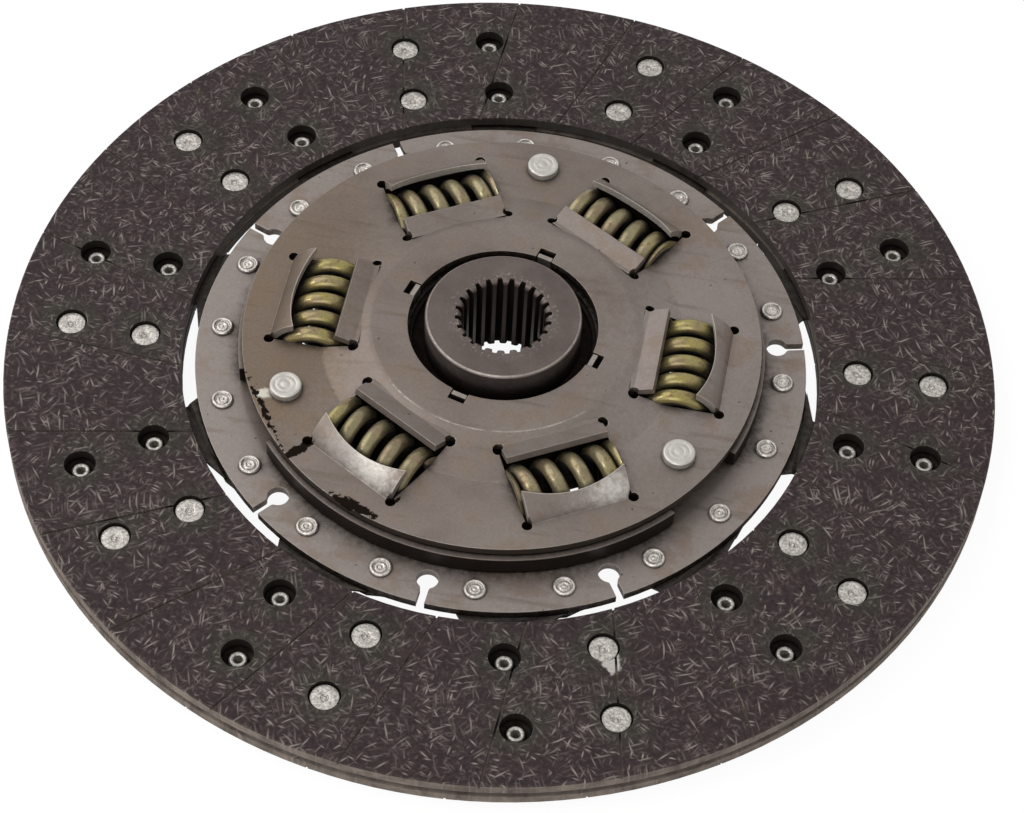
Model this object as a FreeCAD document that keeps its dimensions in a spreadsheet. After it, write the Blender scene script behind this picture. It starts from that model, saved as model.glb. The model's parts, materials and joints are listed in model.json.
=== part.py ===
import FreeCAD, Part
import math
import os
import Sketcher
from FreeCAD import Placement, Rotation, Vector

# A cushioned friction disc of a truck clutch with a six-spring torsion damper.
# +Z is the disc's axis and points to the gearbox side; z = 0 is the lower end of the hub.
# A damper window lies on +X, and every ring of holes is counted from there.

document = FreeCAD.newDocument("clutch_disc")

SIZES = [
    ("facing_width", 64.0, "both friction facings, inner edge to rim"),
    ("facing_gap", 5.0, "driven plate's rim to the facings' inner edge"),
    ("facing_thickness", 4.0, "one friction facing"),
    ("facing_bottom", 4.4, "lower friction face above the hub's lower end"),
    ("cushion_height", 2.6, "gap between the facings, as high as the segments' waves"),
    ("facing_edge_chamfer", 0.5, "broken edge of a facing's rim"),
    ("groove_count", 24, "wear grooves on one facing"),
    ("groove_width", 0.8, "wear groove"),
    ("groove_depth", 1.2, "wear groove"),
    ("groove_offset", 36.0, "distance of a groove's line from the axis"),
    ("groove_angle", 102.0, "direction of the first groove's offset"),
    ("outer_rivet_inset", 22.5, "facings' rim to the outer ring of facing rivets"),
    ("inner_rivet_inset", 13.9, "facings' inner edge to the inner ring of facing rivets"),
    ("rivet_column", 17.0, "facing rivets to either side of a segment's centre line"),
    ("rivet_head_radius", 5.2, "facing rivet head"),
    ("rivet_head_height", 1.1, "facing rivet head"),
    ("rivet_recess", 1.3, "top of a rivet head below the friction face"),
    ("rivet_shank_radius", 2.4, "facing rivet shank"),
    ("rivet_bore_radius", 1.5, "hollow end of a facing rivet"),
    ("rivet_tail_radius", 3.2, "rolled end of a facing rivet"),
    ("rivet_tail_height", 1.8, "rolled end of a facing rivet"),
    ("rivet_dimple_radius", 1.2, "punch mark in a facing rivet's head"),
    ("rivet_dimple_depth", 0.5, "punch mark in a facing rivet's head"),
    ("counterbore_clearance", 0.5, "facing rivet head to its counterbore"),
    ("hole_clearance", 0.05, "rivet shank to its hole"),
    ("tail_hole_radius", 5.7, "window in a facing for the other side's rivet tail"),
    ("segment_count", 10, "cushion segments"),
    ("segment_thickness", 1.0, "spring steel strip"),
    ("segment_rim_inset", 2.5, "outer edge of a segment inside the facings' rim"),
    ("segment_paddle_inset", 2.0, "segment's paddle outside the facings' inner edge"),
    ("segment_root_reach", 14.5, "driven plate's rim to the inner edge of a segment's root"),
    ("segment_half_angle", 17.5, "half the angle that a paddle covers"),
    ("segment_angle", 36.7, "centre line of the first segment's paddle"),
    ("segment_crest", 10.0, "half width of a wave's flat crest"),
    ("segment_shoulder_angle", 6.4, "driven plate's slot to a segment's shoulder"),
    ("segment_shoulder_inset", 0.7, "segment's shoulder inside the driven plate's rim"),
    ("segment_neck_inset", 0.8, "segment's narrowest place inside the facings' inner edge"),
    ("segment_neck_low_angle", 9.9, "narrow neck from the root's middle, clockwise"),
    ("segment_neck_high_angle", 2.2, "narrow neck from the root's middle, anticlockwise"),
    ("root_rivet_inset", 8.6, "driven plate's rim to the rivets between segments and plate"),
    ("root_rivet_half_angle", 8.6, "half the angle between one segment's two root rivets"),
    ("root_lead_angle", -4.4, "middle of the root rivets from the paddle's centre line"),
    ("root_rivet_shank_radius", 2.6, "root rivet shank"),
    ("root_rivet_head_radius", 3.9, "root rivet heads"),
    ("root_rivet_head_height", 1.3, "root rivet heads"),
    ("root_rivet_cup_radius", 2.3, "cup in a root rivet's upper head"),
    ("root_rivet_cup_depth", 0.8, "cup in a root rivet's upper head"),
    ("root_band", 17.6, "rim of the driven plate beyond the retaining plate"),
    ("driven_plate_thickness", 3.2, "driven plate"),
    ("keyhole_inset", 10.0, "driven plate's rim to the round ends of the keyhole slots"),
    ("keyhole_radius", 3.9, "round end of a keyhole slot"),
    ("keyhole_slot_width", 3.0, "slot from a keyhole to the rim"),
    ("keyhole_blend", 1.5, "rounding where a slot runs into its keyhole"),
    ("keyhole_angle", 14.3, "first keyhole slot"),
    ("plate_gap", 9.5, "space between driven plate and retaining plate"),
    ("plate_margin", 12.0, "outer bend lines to the retaining plate's rim"),
    ("retaining_plate_thickness", 3.0, "retaining plate"),
    ("collar_gap", 6.2, "hub collar to the retaining plate's bore"),
    ("crown_rise", 5.9, "raised middle of the retaining plate"),
    ("crown_bend", 3.0, "inside radius of the raised middle's two bends"),
    ("crown_lap", 1.5, "flat of the raised middle beyond the support ring"),
    ("crown_foot_inset", 0.75, "foot of the raised middle's slope inside the springs' circle"),
    ("spring_count", 6, "torsion springs and their windows"),
    ("window_half_length", 19.7, "half a window's length, the spring's seat"),
    ("window_margin", 2.6, "edge of the raised middle's flat to the inner bend lines"),
    ("bend_gap", 2.65, "outside of a spring to its window's bend lines"),
    ("relief_radius", 1.9, "relief hole at a window's corner"),
    ("slit_width", 0.8, "slit beside a flap"),
    ("flap_thickness", 2.6, "pressed flap"),
    ("inner_flap_lean", 6.7, "free edge of the inner flap from its bend line, radially"),
    ("inner_flap_reach", 15.05, "free edge of the inner flap from the damper's middle"),
    ("inner_flap_angle", 59.2, "a curled inner flap's reach round the spring, in degrees"),
    ("outer_flap_angle", 72.0, "an outer flap's reach round the spring, in degrees"),
    ("flap_arc_offset", 35.35, "springs' circle to the centre of the outer flap's curved edge"),
    ("flap_edge_radius", 46.0, "outer flap's curved edge"),
    ("spring_radius", 13.0, "outside of a torsion spring"),
    ("spring_wire_radius", 2.9, "torsion spring wire"),
    ("spring_closed_turns", 0.9, "closed part at either end of a torsion spring"),
    ("spring_tip_thickness", 1.45, "ground wire left at either end of a torsion spring"),
    ("spring_end_clearance", 0.02, "spring end to its seat"),
    ("spacer_count", 3, "spacer rivets"),
    ("spacer_inset", 12.4, "retaining plate's rim to the spacer rivets"),
    ("spacer_angle", 90.0, "first spacer rivet"),
    ("spacer_radius", 5.5, "thick middle of a spacer rivet"),
    ("spacer_neck_radius", 4.0, "spacer rivet in the plates' holes"),
    ("spacer_head_radius", 5.8, "formed heads of a spacer rivet"),
    ("spacer_head_height", 3.2, "formed heads of a spacer rivet"),
    ("spacer_head_chamfer", 0.5, "edge of a spacer rivet's head"),
    ("tab_count", 4, "bent tabs of the support ring"),
    ("tab_angle", 75.0, "first tab and its notch"),
    ("tab_width", 5.6, "tab"),
    ("tab_thickness", 1.8, "tab"),
    ("tab_inset", 0.6, "support ring's bore to the inner side of a tab"),
    ("tab_below_plate", 0.4, "top of a tab below the retaining plate's top"),
    ("notch_width", 6.4, "notch for a tab in the retaining plate's bore"),
    ("notch_depth", 4.4, "notch for a tab, beyond the retaining plate's bore"),
    ("hub_length", 37.0, "hub from end to end"),
    ("hub_wall", 10.8, "hub collar outside the spline's spaces"),
    ("hub_edge_chamfer", 0.8, "outer edges of the hub collar"),
    ("hub_bore_chamfer", 1.5, "mouths of the splined bore"),
    ("spline_count", 24, "teeth of the splined bore"),
    ("spline_tip_radius", 15.1, "tips of the spline teeth"),
    ("spline_depth", 2.5, "tooth spaces of the splined bore"),
    ("spline_mouth_half_width", 1.25, "half a tooth space at the tips"),
    ("spline_root_half_width", 0.75, "half a tooth space at its bottom"),
    ("flange_thickness", 7.0, "hub flange"),
    ("flange_overhang", 1.6, "rim of the hub flange beyond the retaining plate"),
    ("flange_web_gap", 0.5, "spring to the hub flange's window, radially"),
    ("stop_travel", 7.0, "twist of the hub to either stop, in degrees"),
    ("stop_clearance", 1.2, "spacer rivet to the bottom of its notch"),
    ("running_clearance", 0.05, "between parts that turn on each other"),
    ("bush_wall", 2.5, "wall of the hub bush"),
    ("friction_ring_width", 13.0, "friction ring, and the bush's flange, to the same outside"),
    ("friction_ring_thickness", 2.0, "friction ring"),
    ("friction_ring_gap", 4.6, "hub collar to the friction ring"),
    ("support_ring_thickness", 1.5, "support ring"),
    ("support_ring_lap", 0.4, "support ring inside the retaining plate's bore"),
    ("support_ring_overhang", 1.0, "support ring beyond the friction ring"),
    ("disc_spring_width", 9.2, "disc spring, bore to rim"),
    ("disc_spring_inset", 0.2, "disc spring inside the support ring's rim"),
    ("disc_spring_thickness", 1.0, "disc spring"),
]
KEYHOLES_LEFT_OUT = (2, 5, 9)

# Each spring as it was fitted: its turns, and the part of a turn from the wire's first end,
# at the window's anticlockwise end, to the spring's top.
SPRINGS_AS_FITTED = ((5.6, 0.88), (5.6, 0.47), (5.5, 0.43), (5.6, 0.79), (5.35, 0.94), (5.15, 0.05))

sheet = document.addObject("Spreadsheet::Sheet", "Sizes")
for row, (alias, number, meaning) in enumerate(SIZES, start=1):
    sheet.set(f"A{row}", meaning)
    sheet.set(f"B{row}", str(number))
    sheet.setAlias(f"B{row}", alias)
document.recompute()


class Size:
    """A number and the spreadsheet expression that it comes from."""

    def __init__(self, number, text):
        self.number = number
        self.text = text

    def joined(self, other, sign, number):
        return Size(number, f"({self.text} {sign} {other.text})")

    def __add__(self, other):
        other = as_size(other)
        return self.joined(other, "+", self.number + other.number)

    def __sub__(self, other):
        other = as_size(other)
        return self.joined(other, "-", self.number - other.number)

    def __mul__(self, other):
        other = as_size(other)
        return self.joined(other, "*", self.number * other.number)

    def __truediv__(self, other):
        other = as_size(other)
        return self.joined(other, "/", self.number / other.number)

    def __neg__(self):
        return Size(-self.number, f"(0 - {self.text})")


def as_size(thing):
    """Take a Size as it is and a plain number as a constant."""
    return thing if isinstance(thing, Size) else Size(float(thing), repr(float(thing)))


def of(alias):
    """Read one driving dimension."""
    return Size(float(getattr(sheet, alias)), f"Sizes.{alias}")


def cosine(angle):
    return Size(math.cos(math.radians(angle.number)), f"cos({angle.text} * 1deg)")


def sine(angle):
    return Size(math.sin(math.radians(angle.number)), f"sin({angle.text} * 1deg)")


def root(area):
    return Size(math.sqrt(area.number), f"sqrt({area.text})")


def bind(thing, **properties):
    """Tie properties of an object to expressions over the spreadsheet."""
    for name, value in properties.items():
        setattr(thing, name, as_size(value).number)
        thing.setExpression(name, as_size(value).text)


# Heights of the stack, from the lower facing up

lower_facing_top = of("facing_bottom") + of("facing_thickness")
upper_facing_bottom = lower_facing_top + of("cushion_height")
facing_top = upper_facing_bottom + of("facing_thickness")
segment_bottom = lower_facing_top + (of("cushion_height") - of("segment_thickness")) / 2
segment_top = segment_bottom + of("segment_thickness")
driven_bottom = segment_top
driven_top = driven_bottom + of("driven_plate_thickness")
retaining_bottom = driven_top + of("plate_gap")
retaining_top = retaining_bottom + of("retaining_plate_thickness")
damper_middle = (driven_top + retaining_bottom) / 2
flange_bottom = damper_middle - of("flange_thickness") / 2
flange_top = damper_middle + of("flange_thickness") / 2
crown_bottom = retaining_bottom + of("crown_rise")
crown_top = retaining_top + of("crown_rise")
friction_ring_bottom = flange_top + of("running_clearance")
support_ring_bottom = friction_ring_bottom + of("friction_ring_thickness")
support_ring_top = support_ring_bottom + of("support_ring_thickness")
rivet_seat_depth = of("rivet_recess") + of("rivet_head_height")
spring_coil_radius = of("spring_radius") - of("spring_wire_radius")

# Radii, from the bore out: each ring's size follows from the one inside it

radii = document.addObject("App::VarSet", "Radii")


def ring(name, size):
    """Keep a radius that follows from others under its own name."""
    radii.addProperty("App::PropertyFloat", name, "Radii")
    bind(radii, **{name: size})
    return Size(size.number, f"Radii.{name}")


spline_root_radius = ring("spline_root_radius", of("spline_tip_radius") + of("spline_depth"))
hub_radius = ring("hub_radius", spline_root_radius + of("hub_wall"))
bush_outer_radius = ring(
    "bush_outer_radius", hub_radius + of("running_clearance") + of("bush_wall"))
driven_plate_bore = ring("driven_plate_bore", bush_outer_radius + of("hole_clearance"))
retaining_plate_bore = ring("retaining_plate_bore", hub_radius + of("collar_gap"))
notch_outer_radius = ring("notch_outer_radius", retaining_plate_bore + of("notch_depth"))
support_ring_bore = ring("support_ring_bore", retaining_plate_bore - of("support_ring_lap"))
tab_inner_radius = ring("tab_inner_radius", support_ring_bore + of("tab_inset"))
friction_ring_bore = ring("friction_ring_bore", hub_radius + of("friction_ring_gap"))
ring_outer_radius = ring("ring_outer_radius", friction_ring_bore + of("friction_ring_width"))
support_ring_radius = ring("support_ring_radius", ring_outer_radius + of("support_ring_overhang"))
disc_spring_radius = ring("disc_spring_radius", support_ring_radius - of("disc_spring_inset"))
disc_spring_bore = ring("disc_spring_bore", disc_spring_radius - of("disc_spring_width"))
crown_radius = ring("crown_radius", support_ring_radius + of("crown_lap"))
window_inner_line = ring("window_inner_line", crown_radius + of("window_margin"))
inner_flap_edge = ring("inner_flap_edge", window_inner_line + of("inner_flap_lean"))
spring_circle = ring("spring_circle", window_inner_line + of("bend_gap") + of("spring_radius"))
window_outer_line = ring("window_outer_line", spring_circle + of("spring_radius") + of("bend_gap"))
crown_foot_radius = ring("crown_foot_radius", spring_circle - of("crown_foot_inset"))
flap_arc_centre = ring("flap_arc_centre", spring_circle - of("flap_arc_offset"))
retaining_plate_radius = ring("retaining_plate_radius", window_outer_line + of("plate_margin"))
spacer_circle = ring("spacer_circle", retaining_plate_radius - of("spacer_inset"))
flange_radius = ring("flange_radius", retaining_plate_radius + of("flange_overhang"))
driven_plate_radius = ring("driven_plate_radius", retaining_plate_radius + of("root_band"))
keyhole_circle = ring("keyhole_circle", driven_plate_radius - of("keyhole_inset"))
root_rivet_circle = ring("root_rivet_circle", driven_plate_radius - of("root_rivet_inset"))
segment_inner_radius = ring("segment_inner_radius", driven_plate_radius - of("segment_root_reach"))
facing_inner_radius = ring("facing_inner_radius", driven_plate_radius + of("facing_gap"))
facing_outer_radius = ring("facing_outer_radius", facing_inner_radius + of("facing_width"))
inner_rivet_circle = ring("inner_rivet_circle", facing_inner_radius + of("inner_rivet_inset"))
outer_rivet_circle = ring("outer_rivet_circle", facing_outer_radius - of("outer_rivet_inset"))
segment_paddle_radius = ring(
    "segment_paddle_radius", facing_inner_radius + of("segment_paddle_inset"))
segment_outer_radius = ring("segment_outer_radius", facing_outer_radius - of("segment_rim_inset"))

# Helpers for bodies and sketches


def new_body(name):
    body = document.addObject("PartDesign::Body", name)
    body.Label = name
    return body


def plane_of(body, role):
    return next(item for item in body.Origin.OriginFeatures if item.Role == role)


def new_sketch(body, name, role="XY_Plane", height=None, turn=None, shift=None):
    """A sketch on one of the body's own planes, raised, turned about Z or moved along X."""
    sketch = body.newObject("Sketcher::SketchObject", name)
    sketch.AttachmentSupport = [(plane_of(body, role), "")]
    sketch.MapMode = "FlatFace"
    base = Vector(shift.number if shift else 0, 0, height.number if height else 0)
    angle = turn.number if turn else 0
    sketch.AttachmentOffset = Placement(base, Rotation(Vector(0, 0, 1), angle))
    if height:
        sketch.setExpression("AttachmentOffset.Base.z", height.text)
    if shift:
        sketch.setExpression("AttachmentOffset.Base.x", shift.text)
    if turn:
        sketch.setExpression("AttachmentOffset.Rotation.Angle", turn.text)
    return sketch


def hold(sketch, geometry, end, point):
    """Pin one point of a sketch at a place given by two sizes."""
    for kind, value in (("DistanceX", as_size(point[0])), ("DistanceY", as_size(point[1]))):
        rule = Sketcher.Constraint(kind, -1, 1, geometry, end, value.number)
        index = sketch.addConstraint(rule)
        sketch.setExpression(f"Constraints[{index}]", value.text)


def draw_outline(sketch, points):
    """A closed outline of straight lines through the points."""
    corners = [Vector(as_size(x).number, as_size(y).number, 0) for x, y in points]
    first = sketch.GeometryCount
    for index, corner in enumerate(corners):
        following = corners[(index + 1) % len(corners)]
        sketch.addGeometry(Part.LineSegment(corner, following), False)
    for index, point in enumerate(points):
        after = first + (index + 1) % len(points)
        sketch.addConstraint(Sketcher.Constraint("Coincident", first + index, 2, after, 1))
        hold(sketch, first + index, 1, point)


def draw_box(sketch, low, high):
    draw_outline(sketch, [low, (high[0], low[1]), high, (low[0], high[1])])


def draw_circle(sketch, centre, radius):
    middle = Vector(as_size(centre[0]).number, as_size(centre[1]).number, 0)
    circle = Part.Circle(middle, Vector(0, 0, 1), radius.number)
    index = sketch.addGeometry(circle, False)
    hold(sketch, index, 3, centre)
    rule = sketch.addConstraint(Sketcher.Constraint("Radius", index, radius.number))
    sketch.setExpression(f"Constraints[{rule}]", radius.text)


def turned(body, sketch, name, about="V_Axis", angle=None):
    """A solid of revolution about the sketch's upright axis."""
    feature = body.newObject("PartDesign::Revolution", name)
    feature.Profile = sketch
    feature.ReferenceAxis = (sketch, [about])
    feature.Midplane = angle is not None
    feature.Angle = 360
    if angle is not None:
        bind(feature, Angle=angle)
    return feature


def cut_through(body, sketch, name):
    """Cut a sketch right through the body, above and below."""
    feature = body.newObject("PartDesign::Pocket", name)
    feature.Profile = sketch
    feature.Type = "ThroughAll"
    feature.Midplane = True
    return feature


def cut_down(body, sketch, name, depth, upwards=False):
    """Cut a sketch into the body by a depth, down from its plane or up."""
    feature = body.newObject("PartDesign::Pocket", name)
    feature.Profile = sketch
    feature.Reversed = upwards
    bind(feature, Length=depth)
    return feature


def repeat_round(body, originals, name, count):
    """Repeat features round the disc's axis."""
    pattern = body.newObject("PartDesign::PolarPattern", name)
    pattern.Originals = originals
    axis = next(item for item in body.Origin.OriginFeatures if item.Role == "Z_Axis")
    pattern.Axis = (axis, [""])
    pattern.Angle = 360
    pattern.Occurrences = int(round(count.number))
    pattern.setExpression("Occurrences", count.text)
    body.Tip = pattern
    document.recompute()
    return pattern


# Angles of the facing rivets: two straight columns beside each segment's centre line


def column_angle(circle):
    """How far a rivet column stands from the segment's centre line at a radius, in degrees."""
    slope = of("rivet_column").number / circle.number
    return Size(math.degrees(math.asin(slope)),
                f"(asin(Sizes.rivet_column / {circle.text}) / 1deg)")


def facing(name, heads_side, top_face):
    """A friction facing: counterbored for its own rivets, with windows for the other's tails.

    heads_side is the side of a segment's centre line, +1 or -1, on which this facing's
    rivets stand. top_face tells whether its friction face looks up. The lower facing is
    the same piece turned over about a segment's centre line.
    """
    body = new_body(name)
    under = upper_facing_bottom if top_face else of("facing_bottom")
    over = under + of("facing_thickness")
    face = over if top_face else under
    inwards = -1 if top_face else 1
    section = new_sketch(body, name + "_section", "XZ_Plane")
    inner, outer = facing_inner_radius, facing_outer_radius
    edge = of("facing_edge_chamfer")
    back = under if top_face else over
    draw_outline(section, [
        (inner, back), (outer, back), (outer, face + edge * inwards), (outer - edge, face),
        (inner, face)])
    turned(body, section, name + "_ring")
    document.recompute()

    flipped = of("segment_angle") * 2 - of("groove_angle")
    groove = new_sketch(body, name + "_groove", height=face,
                        turn=of("groove_angle") if top_face else flipped)
    half = of("groove_width") / 2
    low, high = (-outer - 1, as_size(0)) if top_face else (as_size(0), outer + 1)
    draw_box(groove, (of("groove_offset") - half, low), (of("groove_offset") + half, high))
    cut = cut_down(body, groove, name + "_groove_cut", of("groove_depth"), not top_face)
    repeat_round(body, [cut], name + "_grooves", of("groove_count"))

    for ring, circle in (("outer", outer_rivet_circle), ("inner", inner_rivet_circle)):
        away = column_angle(circle)
        own = of("segment_angle") + away * heads_side
        other = of("segment_angle") - away * heads_side
        sink = new_sketch(body, f"{name}_{ring}_sink", height=face, turn=own)
        draw_circle(sink, (circle, 0), of("rivet_head_radius") + of("counterbore_clearance"))
        sink_cut = cut_down(body, sink, f"{name}_{ring}_sink_cut", rivet_seat_depth, not top_face)
        shank = new_sketch(body, f"{name}_{ring}_shank", turn=own)
        draw_circle(shank, (circle, 0), of("rivet_shank_radius") + of("hole_clearance"))
        shank_cut = cut_through(body, shank, f"{name}_{ring}_shank_cut")
        window = new_sketch(body, f"{name}_{ring}_window", turn=other)
        draw_circle(window, (circle, 0), of("tail_hole_radius"))
        window_cut = cut_through(body, window, f"{name}_{ring}_window_cut")
        repeat_round(body, [sink_cut, shank_cut, window_cut], f"{name}_{ring}_holes",
                     of("segment_count"))
    return body


def draw_arc(sketch, start, end, radius, centre, sweep):
    """An arc between two points that bulges away from its centre.

    sweep is +1 where the arc runs anticlockwise from start to end in the sketch, else -1.
    """
    places = [Vector(as_size(x).number, as_size(y).number, 0) for x, y in (start, end)]
    middle = Vector(as_size(centre[0]).number, as_size(centre[1]).number, 0)
    angles = [math.atan2((place - middle).y, (place - middle).x) for place in places]
    if sweep < 0:
        angles.reverse()
    circle = Part.Circle(middle, Vector(0, 0, 1), radius.number)
    index = sketch.addGeometry(Part.ArcOfCircle(circle, angles[0], angles[1]), False)
    first, last = (1, 2) if sweep > 0 else (2, 1)
    hold(sketch, index, first, start)
    hold(sketch, index, last, end)
    rule = sketch.addConstraint(Sketcher.Constraint("Radius", index, radius.number))
    sketch.setExpression(f"Constraints[{rule}]", radius.text)
    return index, first, last


def draw_flap(sketch, centre, reach, bend, face, plate, outwards, up):
    """Section of a flap that curls round the spring, with its heel inside the plate.

    bend and face give the bend line on the plate's outside, plate is the plate's thickness,
    outwards is +1 for the flap farther from the axis and up is +1 for a flap that stands up.
    """
    run, rise = bend - centre[0], face - centre[1]
    outer = root(run * run + rise * rise)
    inner = outer - of("flap_thickness")
    tip_x, tip_z = cosine(reach) * outwards, sine(reach) * up

    def point(radius, along, over):
        return centre[0] + radius * along, centre[1] + radius * over

    heel = bend + plate / 2 * outwards
    back = face - plate * up
    sweep = outwards * up
    outer_arc = draw_arc(sketch, (bend, face), point(outer, tip_x, tip_z), outer, centre, sweep)
    inner_arc = draw_arc(sketch, point(inner, run / outer, rise / outer),
                         point(inner, tip_x, tip_z), inner, centre, sweep)
    corners = [(bend, back), (heel, back), (heel, face)]
    chain = [(inner_arc[0], inner_arc[1])]
    ends = [point(inner, run / outer, rise / outer)] + corners + [(bend, face)]
    for start, end in zip(ends, ends[1:]):
        places = [Vector(as_size(x).number, as_size(y).number, 0) for x, y in (start, end)]
        index = sketch.addGeometry(Part.LineSegment(places[0], places[1]), False)
        sketch.addConstraint(Sketcher.Constraint("Coincident", chain[-1][0], chain[-1][1], index, 1))
        chain.append((index, 2))
    for (index, _), corner in zip(chain[1:], corners):
        hold(sketch, index, 2, corner)
    sketch.addConstraint(
        Sketcher.Constraint("Coincident", chain[-1][0], 2, outer_arc[0], outer_arc[1]))
    tip = [Vector(x.number, y.number, 0) for x, y in (point(outer, tip_x, tip_z),
                                                      point(inner, tip_x, tip_z))]
    edge = sketch.addGeometry(Part.LineSegment(tip[0], tip[1]), False)
    sketch.addConstraint(Sketcher.Constraint("Coincident", outer_arc[0], outer_arc[2], edge, 1))
    sketch.addConstraint(Sketcher.Constraint("Coincident", inner_arc[0], inner_arc[2], edge, 2))


def draw_opening(sketch):
    """What is cut from the flaps between them: its outer side curves, so the flap's ends
    reach farther over the spring than its middle."""
    low, high = -of("window_half_length"), of("window_half_length")
    centre, radius = flap_arc_centre, of("flap_edge_radius")
    corner = centre + root(radius * radius - high * high)
    straight = spring_circle
    arc_ends = draw_arc(sketch, (corner, low), (corner, high), radius, (centre, as_size(0)), 1)
    points = [(corner, high), (straight, high), (straight, low), (corner, low)]
    places = [Vector(x.number, y.number, 0) for x, y in points]
    before = (arc_ends[0], arc_ends[2])
    for place, following in zip(places, places[1:]):
        index = sketch.addGeometry(Part.LineSegment(place, following), False)
        sketch.addConstraint(Sketcher.Constraint("Coincident", before[0], before[1], index, 1))
        before = (index, 2)
    sketch.addConstraint(Sketcher.Constraint("Coincident", before[0], 2, arc_ends[0], arc_ends[1]))
    hold(sketch, before[0] - 2, 2, points[1])
    hold(sketch, before[0] - 1, 2, points[2])


def flap_pad(body, sketch, name):
    """Press a flap's section out to both sides, a slit short of the window's ends."""
    pad = body.newObject("PartDesign::Pad", name)
    pad.Profile = sketch
    pad.Midplane = True
    bind(pad, Length=(of("window_half_length") - of("slit_width")) * 2)
    return pad


def press_windows(body, name, up, outer_face, inner_face, plate):
    """Cut the six damper windows and add the flaps that hold the springs.

    up is +1 for flaps that stand up and -1 for flaps that hang down. outer_face and
    inner_face are the heights of the plate's outside at the two bend lines.
    """
    half = of("window_half_length")
    cut = new_sketch(body, name + "_window")
    draw_box(cut, (window_inner_line, -half), (window_outer_line, half))
    window = cut_through(body, cut, name + "_window_cut")

    centre = (spring_circle, damper_middle)
    outer = new_sketch(body, name + "_outer_flap", "XZ_Plane")
    draw_flap(outer, centre, of("outer_flap_angle"), window_outer_line, outer_face, plate, 1, up)
    outer_pad = flap_pad(body, outer, name + "_outer_flap_pad")

    inner = new_sketch(body, name + "_inner_flap", "XZ_Plane")
    if up > 0:
        edge = damper_middle + of("inner_flap_reach")
        run = inner_flap_edge - window_inner_line
        rise = edge - inner_face
        length = root(run * run + rise * rise)
        across = of("flap_thickness") * rise / length
        down = of("flap_thickness") * run / length
        heel = window_inner_line - plate / 2
        draw_outline(inner, [
            (heel, inner_face - plate), (heel, inner_face), (window_inner_line, inner_face),
            (inner_flap_edge, edge), (inner_flap_edge + across, edge - down),
            (window_inner_line + across, inner_face - down)])
    else:
        draw_flap(inner, centre, of("inner_flap_angle"), window_inner_line, inner_face,
                  plate, -1, up)
    inner_pad = flap_pad(body, inner, name + "_inner_flap_pad")

    opening = new_sketch(body, name + "_opening")
    draw_opening(opening)
    opening_cut = cut_through(body, opening, name + "_opening_cut")
    relief = new_sketch(body, name + "_relief")
    for place in (window_inner_line, window_outer_line):
        for across in (half, -half):
            draw_circle(relief, (place, across), of("relief_radius"))
    relief_cut = cut_through(body, relief, name + "_relief_cut")
    document.recompute()
    repeat_round(body, [window, outer_pad, inner_pad, opening_cut, relief_cut],
                 name + "_windows", of("spring_count"))


def round_edges(body, name, radius, wanted):
    """Round the edges that a test picks out of the body's last shape."""
    before = body.Tip
    picked = [f"Edge{number}" for number, edge in enumerate(before.Shape.Edges, start=1)
              if wanted(edge)]
    feature = body.newObject("PartDesign::Fillet", name)
    feature.Base = (before, picked)
    bind(feature, Radius=radius)
    document.recompute()
    return feature


def ring_edge(radius, height):
    """A test for the circular edge of a turned piece at a radius and a height."""
    def wanted(edge):
        if not isinstance(edge.Curve, Part.Circle):
            return False
        same_size = abs(edge.Curve.Radius - radius.number) < 0.001
        return same_size and abs(edge.Curve.Center.z - height.number) < 0.001
    return wanted


def drill_ring(body, name, circle, radius, turn, count):
    """A ring of equal through holes."""
    sketch = new_sketch(body, name, turn=turn)
    draw_circle(sketch, (circle, 0), radius)
    cut = cut_through(body, sketch, name + "_cut")
    return repeat_round(body, [cut], name + "_ring", count)


def retaining_plate():
    """The plate on the gearbox side, with a raised middle over the friction rings."""
    name = "retaining_plate"
    body = new_body(name)
    section = new_sketch(body, name + "_section", "XZ_Plane")
    bore, rim = retaining_plate_bore, retaining_plate_radius
    draw_outline(section, [
        (bore, crown_bottom), (crown_radius, crown_bottom),
        (crown_foot_radius, retaining_bottom), (rim, retaining_bottom),
        (rim, retaining_top), (crown_foot_radius, retaining_top),
        (crown_radius, crown_top), (bore, crown_top)])
    turned(body, section, name + "_disc")
    document.recompute()
    inside, outside = of("crown_bend"), of("crown_bend") + of("retaining_plate_thickness")
    for part, radius, at_radius, at_height in (
            ("edge_top", outside, crown_radius, crown_top),
            ("edge_under", inside, crown_radius, crown_bottom),
            ("foot_top", inside, crown_foot_radius, retaining_top),
            ("foot_under", outside, crown_foot_radius, retaining_bottom)):
        round_edges(body, f"{name}_crown_{part}", radius, ring_edge(at_radius, at_height))
    slope = of("crown_rise") / (crown_foot_radius - crown_radius)
    inner_face = crown_top - slope * (window_inner_line - crown_radius)
    press_windows(body, name, 1, retaining_top, inner_face, of("retaining_plate_thickness"))
    drill_ring(body, name + "_spacer_hole", spacer_circle,
               of("spacer_neck_radius") + of("hole_clearance"), of("spacer_angle"),
               of("spacer_count"))
    notch = new_sketch(body, name + "_notch", turn=of("tab_angle"))
    half = of("notch_width") / 2
    draw_box(notch, (bore - of("notch_width"), -half), (notch_outer_radius, half))
    cut = cut_through(body, notch, name + "_notch_cut")
    repeat_round(body, [cut], name + "_notches", of("tab_count"))
    return body


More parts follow.
